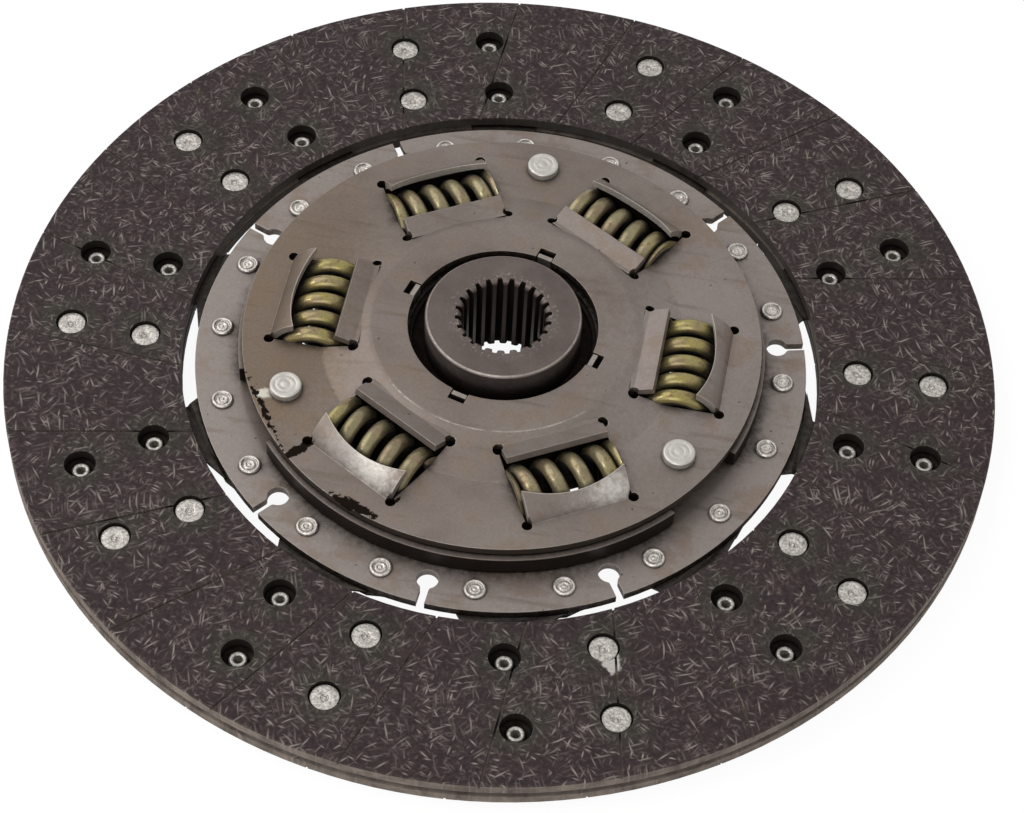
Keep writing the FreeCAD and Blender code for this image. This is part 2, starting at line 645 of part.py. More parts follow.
def driven_plate():
    """The plate that carries the cushion segments, slotted at its rim between them."""
    name = "driven_plate"
    body = new_body(name)
    section = new_sketch(body, name + "_section", "XZ_Plane")
    draw_box(section, (driven_plate_bore, driven_bottom), (driven_plate_radius, driven_top))
    turned(body, section, name + "_disc")
    document.recompute()
    press_windows(body, name, -1, driven_bottom, driven_bottom, of("driven_plate_thickness"))
    drill_ring(body, name + "_spacer_hole", spacer_circle,
               of("spacer_neck_radius") + of("hole_clearance"), of("spacer_angle"),
               of("spacer_count"))
    middle = of("segment_angle") + of("root_lead_angle")
    for side in (-1, 1):
        drill_ring(body, f"{name}_root_hole_{side + 2}", root_rivet_circle,
                   of("root_rivet_shank_radius") + of("hole_clearance"),
                   middle + of("root_rivet_half_angle") * side, of("segment_count"))
    step = as_size(360) / of("segment_count")
    half = of("keyhole_slot_width") / 2
    for index in range(int(of("segment_count").number)):
        if index in KEYHOLES_LEFT_OUT:
            continue
        turn = of("keyhole_angle") + step * index
        hole = new_sketch(body, f"{name}_keyhole_{index + 1}", turn=turn)
        draw_circle(hole, (keyhole_circle, 0), of("keyhole_radius"))
        cut_through(body, hole, f"{name}_keyhole_{index + 1}_cut")
        slot = new_sketch(body, f"{name}_slot_{index + 1}", turn=turn)
        draw_box(slot, (keyhole_circle, -half), (driven_plate_radius + 1, half))
        body.Tip = cut_through(body, slot, f"{name}_slot_{index + 1}_cut")
    document.recompute()
    reach = root(of("keyhole_radius") * of("keyhole_radius") - half * half) + keyhole_circle
    corner = root(reach * reach + half * half)

    def joint(edge):
        """An upright edge where a slot meets its round hole."""
        ends = [vertex.Point for vertex in edge.Vertexes]
        return len(ends) == 2 and all(
            abs(math.hypot(end.x, end.y) - corner.number) < 0.001 for end in ends) and (
            (ends[0] - ends[1]).cross(Vector(0, 0, 1)).Length < 0.001)

    round_edges(body, name + "_keyhole_blends", of("keyhole_blend"), joint)
    return body


def hub():
    """The splined hub and its flange, with spring windows and notches for the spacer rivets."""
    name = "hub"
    body = new_body(name)
    section = new_sketch(body, name + "_section", "XZ_Plane")
    tip, collar, length = of("spline_tip_radius"), hub_radius, of("hub_length")
    edge, mouth = of("hub_edge_chamfer"), of("hub_bore_chamfer")
    draw_outline(section, [
        (tip, mouth), (tip + mouth, 0), (collar - edge, 0), (collar, edge),
        (collar, flange_bottom), (flange_radius, flange_bottom),
        (flange_radius, flange_top), (collar, flange_top), (collar, length - edge),
        (collar - edge, length), (tip + mouth, length), (tip, length - mouth)])
    turned(body, section, name + "_blank")
    document.recompute()
    space = new_sketch(body, name + "_space")
    low, high = of("spline_mouth_half_width"), of("spline_root_half_width")
    start = tip - of("spline_mouth_half_width")
    draw_outline(space, [
        (start, -low), (tip, -low), (spline_root_radius, -high),
        (spline_root_radius, high), (tip, low), (start, low)])
    cut = cut_through(body, space, name + "_space_cut")
    repeat_round(body, [cut], name + "_spline", of("spline_count"))
    window = new_sketch(body, name + "_window")
    reach = of("spring_radius") + of("flange_web_gap")
    draw_box(window, (spring_circle - reach, -of("window_half_length")),
             (spring_circle + reach, of("window_half_length")))
    cut = cut_through(body, window, name + "_window_cut")
    repeat_round(body, [cut], name + "_windows", of("spring_count"))
    notch = new_sketch(body, name + "_notch", turn=of("spacer_angle"))
    floor = spacer_circle - of("spacer_radius") - of("stop_clearance")
    swing = of("stop_travel")
    wall_x = spacer_circle * cosine(swing)
    wall_y = spacer_circle * sine(swing)
    side = of("spacer_radius") + of("running_clearance")
    rim = flange_radius + 1
    foot = rim - floor
    low_y = wall_y + side / cosine(swing) - (wall_x - floor) * sine(swing) / cosine(swing)
    high_y = low_y + foot * sine(swing) / cosine(swing)
    draw_outline(notch, [(floor, -low_y), (rim, -high_y), (rim, high_y), (floor, low_y)])
    cut = cut_through(body, notch, name + "_notch_cut")
    repeat_round(body, [cut], name + "_notches", of("spacer_count"))
    return body


def turned_piece(name, points):
    """A body turned from one section given by its corners as radius and height."""
    body = new_body(name)
    section = new_sketch(body, name + "_section", "XZ_Plane")
    draw_outline(section, points)
    turned(body, section, name + "_form")
    document.recompute()
    return body


def hub_bush():
    """A flanged bush that centres the driven plate on the hub and rubs under the flange."""
    bore = hub_radius + of("running_clearance")
    sleeve = bush_outer_radius
    flange_under = driven_top
    flange_over = flange_bottom - of("running_clearance")
    return turned_piece("hub_bush", [
        (bore, driven_bottom), (sleeve, driven_bottom), (sleeve, flange_under),
        (ring_outer_radius, flange_under), (ring_outer_radius, flange_over),
        (bore, flange_over)])


def friction_ring():
    """The friction ring above the hub flange."""
    return turned_piece("friction_ring", [
        (friction_ring_bore, friction_ring_bottom),
        (ring_outer_radius, friction_ring_bottom),
        (ring_outer_radius, support_ring_bottom),
        (friction_ring_bore, support_ring_bottom)])


def support_ring():
    """The steel ring on the friction ring, kept from turning by four bent tabs."""
    name = "support_ring"
    body = turned_piece(name, [
        (support_ring_bore, support_ring_bottom),
        (support_ring_radius, support_ring_bottom),
        (support_ring_radius, support_ring_top),
        (support_ring_bore, support_ring_top)])
    tab = new_sketch(body, name + "_tab", height=support_ring_bottom, turn=of("tab_angle"))
    half = of("tab_width") / 2
    inner = tab_inner_radius
    draw_box(tab, (inner, -half), (inner + of("tab_thickness"), half))
    pad = body.newObject("PartDesign::Pad", name + "_tab_pad")
    pad.Profile = tab
    bind(pad, Length=crown_top - of("tab_below_plate") - support_ring_bottom)
    document.recompute()
    repeat_round(body, [pad], name + "_tabs", of("tab_count"))
    return body


def disc_spring():
    """The coned spring that presses the support ring down from under the retaining plate."""
    inner, outer = disc_spring_bore, disc_spring_radius
    thick = of("disc_spring_thickness")
    return turned_piece("disc_spring", [
        (inner, crown_bottom - thick), (outer, support_ring_top),
        (outer, support_ring_top + thick), (inner, crown_bottom)])


# Pieces that repeat are made from one shape, which reads its sizes from the sheet


def lathe(points):
    """A solid turned about Z from corners given as radius and height."""
    corners = [Vector(as_size(r).number, 0, as_size(z).number) for r, z in points]
    wire = Part.makePolygon(corners + corners[:1])
    return Part.Face(wire).revolve(Vector(0, 0, 0), Vector(0, 0, 1), 360)


def placed(shape, circle, angle, upside_down=None):
    """A copy of a shape carried out to a radius and turned about the disc's axis."""
    copy = shape.copy()
    if upside_down is not None:
        copy = copy.mirror(Vector(0, 0, upside_down.number), Vector(0, 0, 1))
    copy.translate(Vector(circle.number, 0, 0))
    copy.rotate(Vector(0, 0, 0), Vector(0, 0, 1), angle)
    return copy


def add_piece(name, shape, turn=0.0):
    """Put a finished shape into the document under its own name."""
    piece = document.addObject("Part::Feature", name)
    piece.Label = name
    piece.Shape = shape
    piece.Placement = Placement(Vector(0, 0, 0), Rotation(Vector(0, 0, 1), turn))
    return piece


def facing_rivet():
    """A tubular rivet of the upper facing: punched head on top, rolled hollow end below."""
    head, tail = of("rivet_head_radius"), of("rivet_tail_radius")
    shank, bore = of("rivet_shank_radius"), of("rivet_bore_radius")
    top = facing_top - of("rivet_recess")
    seat = facing_top - rivet_seat_depth
    grip = upper_facing_bottom - of("segment_thickness")
    end = grip - of("rivet_tail_height")
    dimple, deep = of("rivet_dimple_radius"), of("rivet_dimple_depth")
    roll = (tail - bore) / 2
    return lathe([
        (0, top - deep), (dimple, top), (head - deep / 2, top), (head, top - deep / 2),
        (head, seat), (shank, seat), (shank, grip), (tail, grip), (tail, end + roll / 2),
        (tail - roll / 2, end), (bore + roll / 2, end), (bore, end + roll / 2), (bore, seat),
        (0, seat)])


def facing_rivets(name, heads_side, top_face):
    """The twenty rivets of one facing, as separate solids."""
    shape = facing_rivet()
    middle = (of("facing_bottom") + facing_top) / 2
    step = 360 / of("segment_count").number
    copies = []
    for circle in (outer_rivet_circle, inner_rivet_circle):
        away = column_angle(circle).number * heads_side
        for index in range(int(of("segment_count").number)):
            angle = of("segment_angle").number + away + step * index
            copies.append(placed(shape, circle, angle, None if top_face else middle))
    return add_piece(name, Part.makeCompound(copies))


def segment_rivets():
    """The rivets between the driven plate and the segments, cupped on top."""
    shank, head = of("root_rivet_shank_radius"), of("root_rivet_head_radius")
    tall = of("root_rivet_head_height")
    cup, deep = of("root_rivet_cup_radius"), of("root_rivet_cup_depth")
    under, over = segment_bottom - tall, driven_top + tall
    shape = lathe([
        (0, under), (head - tall / 2, under), (head, under + tall / 2), (head, segment_bottom),
        (shank, segment_bottom), (shank, driven_top), (head, driven_top),
        (head, over - tall / 3), (head - tall / 3, over), (cup, over),
        (cup - deep / 3, over - deep), (deep, over - deep), (0, over - deep / 2)])
    step = 360 / of("segment_count").number
    middle = of("segment_angle").number + of("root_lead_angle").number
    copies = []
    for index in range(int(of("segment_count").number)):
        for side in (-1, 1):
            angle = middle + step * index + of("root_rivet_half_angle").number * side
            copies.append(placed(shape, root_rivet_circle, angle))
    return add_piece("segment_rivets", Part.makeCompound(copies))


def spacer_rivets():
    """The three rivets that hold the two plates apart and stop the hub flange."""
    head, tall = of("spacer_head_radius"), of("spacer_head_height")
    edge, neck, thick = of("spacer_head_chamfer"), of("spacer_neck_radius"), of("spacer_radius")
    low, high = driven_bottom - tall, retaining_top + tall
    shape = lathe([
        (0, low), (head - edge, low), (head, low + edge), (head, driven_bottom),
        (neck, driven_bottom), (neck, driven_top), (thick, driven_top),
        (thick, retaining_bottom), (neck, retaining_bottom), (neck, retaining_top),
        (head, retaining_top), (head, high - edge), (head - edge, high), (0, high)])
    step = 360 / of("spacer_count").number
    copies = [placed(shape, spacer_circle, of("spacer_angle").number + step * index)
              for index in range(int(of("spacer_count").number))]
    return add_piece("spacer_rivets", Part.makeCompound(copies))


def at(radius, degrees):
    """A point of the plane at a radius and an angle."""
    angle = math.radians(degrees)
    return Vector(radius * math.cos(angle), radius * math.sin(angle), 0)


def arc(radius, start, end):
    """An arc about the disc's axis between two angles."""
    return Part.Arc(at(radius, start), at(radius, (start + end) / 2), at(radius, end)).toShape()


def line(start, end):
    return Part.makeLine(start, end)


def segment_outline():
    """Plan of one cushion segment with its paddle's centre line on +X."""
    lead = of("root_lead_angle").number
    pitch = 180 / of("segment_count").number
    root_half = pitch - math.degrees(math.asin(
        (of("keyhole_radius").number + of("segment_thickness").number) / keyhole_circle.number))
    shoulder_half = pitch - of("segment_shoulder_angle").number
    inner = segment_inner_radius.number
    slot_end = keyhole_circle.number + of("keyhole_radius").number
    shoulder = driven_plate_radius.number - of("segment_shoulder_inset").number
    neck = facing_inner_radius.number - of("segment_neck_inset").number
    paddle, rim = segment_paddle_radius.number, segment_outer_radius.number
    wide = of("segment_half_angle").number
    neck_low = lead - of("segment_neck_low_angle").number
    neck_high = lead + of("segment_neck_high_angle").number
    parts = [
        arc(inner, lead - root_half, lead + root_half),
        line(at(inner, lead + root_half), at(slot_end, lead + root_half)),
        line(at(slot_end, lead + root_half), at(shoulder, lead + shoulder_half)),
        line(at(shoulder, lead + shoulder_half), at(neck, neck_high)),
        line(at(neck, neck_high), at(paddle, neck_high)),
        arc(paddle, neck_high, wide),
        line(at(paddle, wide), at(rim, wide)),
        arc(rim, wide, -wide),
        line(at(rim, -wide), at(paddle, -wide)),
        arc(paddle, -wide, neck_low),
        line(at(paddle, neck_low), at(neck, neck_low)),
        line(at(neck, neck_low), at(shoulder, lead - shoulder_half)),
        line(at(shoulder, lead - shoulder_half), at(slot_end, lead - root_half)),
        line(at(slot_end, lead - root_half), at(inner, lead - root_half))]
    return Part.Face(Part.Wire(Part.__sortEdges__(parts)))


def strip(corners, direction):
    """A prism on a flat outline."""
    return Part.Face(Part.makePolygon(corners + corners[:1])).extrude(direction)


def segment_shape():
    """A cushion segment: flat root, ramped neck and a paddle pressed into a wave.

    The wave's low crest bears on the lower facing and its high crest on the upper one.
    """
    thick = of("segment_thickness").number
    low, high = lower_facing_top.number, upper_facing_bottom.number - thick
    flat = segment_bottom.number
    rim = segment_outer_radius.number
    column, crest = of("rivet_column").number, of("segment_crest").number
    side = rim * math.sin(math.radians(of("segment_half_angle").number)) + thick
    knots = [(-side, flat), (-column - crest, low), (-column + crest, low),
             (column - crest, high), (column + crest, high), (side, flat)]
    paddle = segment_paddle_radius.number
    start = paddle * math.cos(math.radians(of("segment_half_angle").number)) - thick
    foot = driven_plate_radius.number - thick
    under = [Vector(start, y, z) for y, z in knots]
    over = [Vector(start, y, z + thick) for y, z in reversed(knots)]
    wave = strip(under + over, Vector(rim - start, 0, 0))
    ramp = strip([
        Vector(0, -side, flat), Vector(foot, -side, flat), Vector(start, -side, low),
        Vector(start, -side, low + thick), Vector(foot, -side, flat + thick),
        Vector(0, -side, flat + thick)], Vector(0, 2 * side, 0))
    blank = segment_outline()
    blank.translate(Vector(0, 0, low))
    prism = blank.extrude(Vector(0, 0, upper_facing_bottom.number - low))
    shape = prism.common(wave.fuse(ramp)).removeSplitter()
    for circle in (outer_rivet_circle, inner_rivet_circle):
        for sign in (-1, 1):
            shape = shape.cut(drill(circle, column_angle(circle).number * sign, "rivet_shank_radius"))
    for sign in (-1, 1):
        angle = of("root_lead_angle").number + of("root_rivet_half_angle").number * sign
        shape = shape.cut(drill(root_rivet_circle, angle, "root_rivet_shank_radius"))
    return shape.Solids[0]


def drill(circle, angle, radius_name):
    """A drill for a rivet hole through a segment."""
    radius = of(radius_name).number + of("hole_clearance").number
    height = facing_top.number
    return Part.makeCylinder(radius, height, at(circle.number, angle), Vector(0, 0, 1))


def spring_shape(turns, lead_in):
    """A compression spring along Y on +X, with closed ends ground flat.

    turns counts the closed ends too; lead_in is the part of a turn from the wire's first
    end to the spring's top. The ground wire thins towards its tip, which lies on the next turn.
    """
    wire, coil = of("spring_wire_radius").number, spring_coil_radius.number
    half = of("window_half_length").number - of("spring_end_clearance").number
    closed = of("spring_closed_turns").number
    first = wire - of("spring_tip_thickness").number
    end_rise = closed * wire * 2
    middle_rise = 2 * (half + first - end_rise)
    pitch = middle_rise / (turns - 2 * closed)
    pieces = []
    height, angle = -half - first, 90 - 360 * lead_in
    for lead, rise in ((wire * 2, end_rise), (pitch, middle_rise), (wire * 2, end_rise)):
        run = Part.makeHelix(lead, rise, coil)
        run.rotate(Vector(0, 0, 0), Vector(0, 0, 1), angle)
        run.translate(Vector(0, 0, height))
        pieces += run.Edges
        height += rise
        angle += 360 * rise / lead
    path = Part.Wire(pieces)
    start = at(coil, 90 - 360 * lead_in) + Vector(0, 0, -half - first)
    tangent = at(1, 180 - 360 * lead_in) + Vector(0, 0, wire * 2 / (2 * math.pi * coil))
    section = Part.Wire(Part.makeCircle(wire, start, tangent))
    spring = path.makePipeShell([section], True, True)
    spring.rotate(Vector(0, 0, 0), Vector(1, 0, 0), 90)
    spring.translate(Vector(spring_circle.number, 0, damper_middle.number))
    corner = Vector(spring_circle.number - 2 * coil, -half, damper_middle.number - 2 * coil)
    ground = spring.common(Part.makeBox(4 * coil, 2 * half, 4 * coil, corner))
    return max(ground.Solids, key=lambda solid: solid.Volume)


nodes = [
    facing("facing_upper", 1, True),
    facing("facing_lower", -1, False),
    driven_plate(),
    retaining_plate(),
    hub(),
    hub_bush(),
    friction_ring(),
    support_ring(),
    disc_spring(),
    facing_rivets("facing_rivets_upper", 1, True),
    facing_rivets("facing_rivets_lower", -1, False),
    segment_rivets(),
    spacer_rivets(),
]

segment = segment_shape()
segment_step = 360 / of("segment_count").number
for index in range(int(of("segment_count").number)):
    turn = of("segment_angle").number + segment_step * index
    nodes.append(add_piece(f"cushion_segment_{index + 1}", segment, turn))

spring_step = 360 / of("spring_count").number
for index in range(int(of("spring_count").number)):
    turns, lead_in = SPRINGS_AS_FITTED[index % len(SPRINGS_AS_FITTED)]
    nodes.append(add_piece(f"torsion_spring_{index + 1}", spring_shape(turns, lead_in),
                           spring_step * index))

document.recompute()

for item in document.Objects:
    if "Invalid" in item.State or "Error" in item.State:
        raise RuntimeError(f"{item.Name} failed: {item.State}")
for node in nodes:
    if node.Shape.isNull() or not node.Shape.isValid():
        raise RuntimeError(f"{node.Label} has no valid shape")

os.makedirs("parts", exist_ok=True)
for node in nodes:
    node.Shape.exportStep(f"parts/{node.Label}.step")
    print(node.Label, "solids", len(node.Shape.Solids), "volume", round(node.Shape.Volume, 1))
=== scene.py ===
# %% [markdown]
# # A used clutch disc
#
# The disc is a sandwich of two friction rings riveted to waved spring strips, round a
# pressed-steel damper with six coil springs and a splined hub. The measured solids come from
# the frame and stay where they are. This lesson dresses them: each gets the finish that the
# real piece has, and the pieces that the eye follows, such as spring wire and rivet heads,
# are modelled again with softer edges.

import bmesh
import bpy
import json
import math
from mathutils import Matrix, Vector


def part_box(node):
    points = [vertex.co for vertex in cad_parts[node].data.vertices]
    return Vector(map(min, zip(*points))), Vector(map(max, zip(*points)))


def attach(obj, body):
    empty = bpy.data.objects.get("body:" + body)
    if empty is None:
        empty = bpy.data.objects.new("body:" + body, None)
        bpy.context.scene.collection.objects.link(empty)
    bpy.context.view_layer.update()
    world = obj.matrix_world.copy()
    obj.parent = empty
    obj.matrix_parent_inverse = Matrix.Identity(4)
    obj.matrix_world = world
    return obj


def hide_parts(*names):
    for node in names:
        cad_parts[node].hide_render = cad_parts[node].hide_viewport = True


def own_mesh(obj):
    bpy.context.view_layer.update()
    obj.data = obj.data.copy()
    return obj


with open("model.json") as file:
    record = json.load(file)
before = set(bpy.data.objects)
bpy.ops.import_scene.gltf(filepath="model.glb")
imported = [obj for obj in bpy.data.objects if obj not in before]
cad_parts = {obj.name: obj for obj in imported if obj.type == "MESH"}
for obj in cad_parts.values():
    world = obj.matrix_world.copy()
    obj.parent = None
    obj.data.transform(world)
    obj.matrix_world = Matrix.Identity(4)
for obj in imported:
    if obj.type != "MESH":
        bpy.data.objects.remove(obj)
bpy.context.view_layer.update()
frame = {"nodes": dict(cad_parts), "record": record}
scene = bpy.context.scene
MM = 0.001

# %% [markdown]
# ## The camera
#
# A photograph fixes where its camera stood: the rim is a circle, the hub's end is a smaller
# circle above it, and perspective tells how far away they are. The values here put the disc
# where it lies in such a picture: a long lens, seen from 53 degrees above the floor, with the
# picture turned by 3 degrees.

# %% Camera
RIM_RADIUS = 181.0 * MM
FRICTION_FACE = 15.0 * MM
ELEVATION = math.radians(52.925)
ROLL = math.radians(3.2387)
DISC_TURN = math.radians(8.1)
DISTANCE = 5.5626 * RIM_RADIUS
AIM = Vector((0.027115, -0.134832, 0.0)) * RIM_RADIUS

right = Vector((1, 0, 0))
up = Vector((0, math.sin(ELEVATION), math.cos(ELEVATION)))
back = Vector((0, -math.cos(ELEVATION), math.sin(ELEVATION)))
camera_x = math.cos(ROLL) * right + math.sin(ROLL) * up
camera_y = math.cos(ROLL) * up - math.sin(ROLL) * right
turn = Matrix.Rotation(DISC_TURN, 3, "Z")
axes = Matrix((turn @ camera_x, turn @ camera_y, turn @ back)).transposed()
place = turn @ (AIM + DISTANCE * back) + Vector((0, 0, FRICTION_FACE))

camera_data = bpy.data.cameras.new("camera")
camera_data.sensor_width = 36.0
camera_data.lens = 36.0 * 2785.83 / 1024
camera_data.clip_start = 0.05
camera_data.clip_end = 20.0
camera = bpy.data.objects.new("camera", camera_data)
camera.matrix_world = Matrix.Translation(place) @ axes.to_4x4()
scene.collection.objects.link(camera)
scene.camera = camera
print("lens", round(camera_data.lens, 2), "mm, distance", round(DISTANCE, 3), "m")

# %% [markdown]
# ## Colours and nodes
#
# Colours are written as they look on a screen, as hex values, and one function turns them
# into the linear numbers that a renderer adds up. A second function adds a node: its settings
# first, then its sockets, each with a plain value or with the output that feeds it. Patterns
# are measured in millimetres, so every material starts from the object's own coordinates
# times a thousand.

# %% Two small helpers


def linear(hex_colour):
    """Turn a screen colour such as "857b74" into linear red, green, blue and alpha."""
    channels = [int(hex_colour[i:i + 2], 16) / 255 for i in (0, 2, 4)]
    return [c / 12.92 if c <= 0.04045 else ((c + 0.055) / 1.055) ** 2.4 for c in channels] + [1.0]


def add(tree, kind, settings, sockets):
    """Add a shader node, give it its settings and fill or feed its sockets."""
    made = tree.nodes.new("ShaderNode" + kind)
    for name, value in settings.items():
        setattr(made, name, value)
    for name, value in sockets.items():
        if isinstance(value, bpy.types.NodeSocket):
            tree.links.new(value, made.inputs[name])
        else:
            made.inputs[name].default_value = value
    return made


def new_material(name):
    """A material with an empty tree and the object's coordinates in millimetres."""
    material = bpy.data.materials.new(name)
    material.use_nodes = True
    tree = material.node_tree
    tree.nodes.clear()
    object_place = add(tree, "TexCoord", {}, {}).outputs["Object"]
    millimetres = add(tree, "VectorMath", {"operation": "SCALE"}, {0: object_place, "Scale": 1000.0})
    return material, tree, millimetres.outputs[0]


def finish(tree, surface):
    """Send a shader to the material's output."""
    add(tree, "OutputMaterial", {}, {"Surface": surface})


print("grey of 857b74 is", [round(c, 3) for c in linear("857b74")])

# %% [markdown]
# ## Painted shade, wear and grain
#
# Three things go on every finish here. Shade is painted dark where little of the sky is seen,
# in gaps and hollows: ambient occlusion finds these places and a near-black colour paints them.
# Edges are rubbed bright, and a Bevel node's rounded normal leaves the true one only there.
# And no surface has one even tone, so noise of a real grain size varies it. Colours then go on
# like thin coats of paint: each stain has shares from 0 to 1, and shows where all are high.
# like thin coats of paint: each stain has shares from 0 to 1, and shows where all are high.

# %% Tone, painted shade and rubbed edges
# The near-black of grease marks, also used for the painted shade in gaps and hollows
GREASE_AND_SHADE = "150e09"


def mottle(tree, where, size, low, high):
    """A factor that drifts between two values over patches of some millimetres."""
    patches = add(tree, "TexNoise", {}, {
        "Vector": where, "Scale": 1.0 / size, "Detail": 4.0, "Roughness": 0.62})
    return add(tree, "MapRange", {}, {
        "Value": patches.outputs["Fac"], "From Min": 0.3, "From Max": 0.7,
        "To Min": low, "To Max": high}).outputs[0]


# The mask for painted shade: high where a point sees little of the sky
def shut_in(tree, where, reach, uneven):
    """How shut in a place is, from 0 in the open to 1 deep in a gap, with a ragged limit."""
    sky = add(tree, "AmbientOcclusion", {"samples": 8}, {"Distance": reach * MM})
    ragged = add(tree, "Math", {"operation": "MULTIPLY_ADD"}, {
        0: mottle(tree, where, 2.5, -0.5, 0.5), 1: uneven, 2: sky.outputs["AO"]})
    return add(tree, "MapRange", {"interpolation_type": "SMOOTHSTEP"}, {
        "Value": ragged.outputs[0], "From Min": 0.82, "From Max": 0.3}).outputs[0]


def rubbed_edge(tree, where, rounded):
    """Where an edge is rubbed: the rounded normal of a Bevel node leaves the true one."""
    true = add(tree, "NewGeometry", {}, {}).outputs["Normal"]
    same = add(tree, "VectorMath", {"operation": "DOT_PRODUCT"}, {0: rounded, 1: true})
    edge = add(tree, "MapRange", {}, {
        "Value": same.outputs["Value"], "From Min": 0.99, "From Max": 0.9})
    return add(tree, "Math", {"operation": "MULTIPLY"}, {
        0: edge.outputs[0], 1: mottle(tree, where, 1.6, 0.35, 1.0)}).outputs[0]


def stain(tree, ground, hex_colour, *shares):
    """Lay a colour over a ground, as strongly as the product of its shares."""
    strength = shares[0]
    for share in shares[1:]:
        strength = add(tree, "Math", {"operation": "MULTIPLY"}, {0: strength, 1: share}).outputs[0]
    return add(tree, "Mix", {"data_type": "RGBA"}, {
        0: strength, 6: ground, 7: linear(hex_colour)}).outputs[2]


print("dirt is", [round(c, 4) for c in linear(GREASE_AND_SHADE)])

# %% Marks and places on the disc


def band(tree, value, low, high, soft):
    """1 where a measure lies between two limits, falling to 0 over a soft width outside."""
    rise = add(tree, "MapRange", {"interpolation_type": "SMOOTHSTEP"}, {
        "Value": value, "From Min": low - soft, "From Max": low})
    fall = add(tree, "MapRange", {"interpolation_type": "SMOOTHSTEP"}, {
        "Value": value, "From Min": high + soft, "From Max": high})
    return add(tree, "Math", {"operation": "MULTIPLY"}, {
        0: rise.outputs[0], 1: fall.outputs[0]}).outputs[0]


def mark(tree, where, centre, degrees, size, ragged, soft):
    """An oval mark: 1 inside, 0 outside, turned about Z, with a ragged and softened edge."""
    oval = add(tree, "Mapping", {"vector_type": "TEXTURE"}, {
        "Vector": where, "Location": centre, "Rotation": (0.0, 0.0, math.radians(degrees)),
        "Scale": size})
    out = add(tree, "VectorMath", {"operation": "LENGTH"}, {0: oval.outputs[0]})
    torn = add(tree, "Math", {"operation": "MULTIPLY_ADD"}, {
        0: mottle(tree, where, 2.2, -0.5, 0.5), 1: ragged, 2: out.outputs["Value"]})
    return add(tree, "MapRange", {"interpolation_type": "SMOOTHSTEP"}, {
        "Value": torn.outputs[0], "From Min": 1.0, "From Max": 1.0 - soft}).outputs[0]


def from_axis(tree, where):
    """How far a point is from the disc's axis, in millimetres."""
    flat = add(tree, "VectorMath", {"operation": "MULTIPLY"}, {0: where, 1: (1.0, 1.0, 0.0)})
    return add(tree, "VectorMath", {"operation": "LENGTH"}, {0: flat.outputs[0]}).outputs["Value"]


def folded(tree, where, degrees, shift):
    """Fold the disc into one half slice, so that one place there stands for all its repeats."""
    part = add(tree, "SeparateXYZ", {}, {0: where})
    angle = add(tree, "Math", {"operation": "ARCTAN2"}, {0: part.outputs["Y"], 1: part.outputs["X"]})
    shifted = add(tree, "Math", {"operation": "SUBTRACT"}, {
        0: angle.outputs[0], 1: math.radians(shift)})
    in_slice = add(tree, "Math", {"operation": "WRAP"}, {
        0: shifted.outputs[0], 1: math.radians(degrees / 2), 2: math.radians(-degrees / 2)})
    half = add(tree, "Math", {"operation": "ABSOLUTE"}, {0: in_slice.outputs[0]}).outputs[0]
    cosine = add(tree, "Math", {"operation": "COSINE"}, {0: half})
    sine = add(tree, "Math", {"operation": "SINE"}, {0: half})
    round_axis = add(tree, "CombineXYZ", {}, {"X": cosine.outputs[0], "Y": sine.outputs[0]})
    flat = add(tree, "VectorMath", {"operation": "SCALE"}, {
        0: round_axis.outputs[0], "Scale": from_axis(tree, where)})
    lift = add(tree, "CombineXYZ", {}, {"Z": part.outputs["Z"]})
    return add(tree, "VectorMath", {"operation": "ADD"}, {
        0: flat.outputs[0], 1: lift.outputs[0]}).outputs[0]


WINDOWS = 6


def by_window(number, outward, along, height):
    """A place given in a damper window's own frame, as a place on the disc."""
    turned = Matrix.Rotation(2 * math.pi * number / WINDOWS, 3, "Z")
    return tuple(turned @ Vector((outward, along, height)))


print("the fourth window's outer flap is near", [round(v, 1) for v in by_window(4, 78, 0, 27)])

# %% [markdown]
# ## Friction lining
#
# A facing is moulded from short fibres, resin and a little metal, pressed hot and ground flat.
# In use it goes nearly black, and the ground ends of the fibres stay visible as pale, thin
# scratches a few millimetres long. A picture of the surface could be painted on, but a pattern
# made from the object's own coordinates stays sharp at any distance. Each fibre layer here is a
# net of long thin cells, of which only a few hold a fibre. The layers lie in many directions,
# and each is thick in some places and thin in others, as fibres lie in tufts. Round every rivet the
# dust is greener. The counterbores, the facing's inner wall and the gaps near the rivets are painted
# black as shade, and the grooves are painted paler to lift their shade. The rivets repeat every 36
# degrees, so the disc is folded into one half slice, and two spots there serve all forty.

# %% Fibres


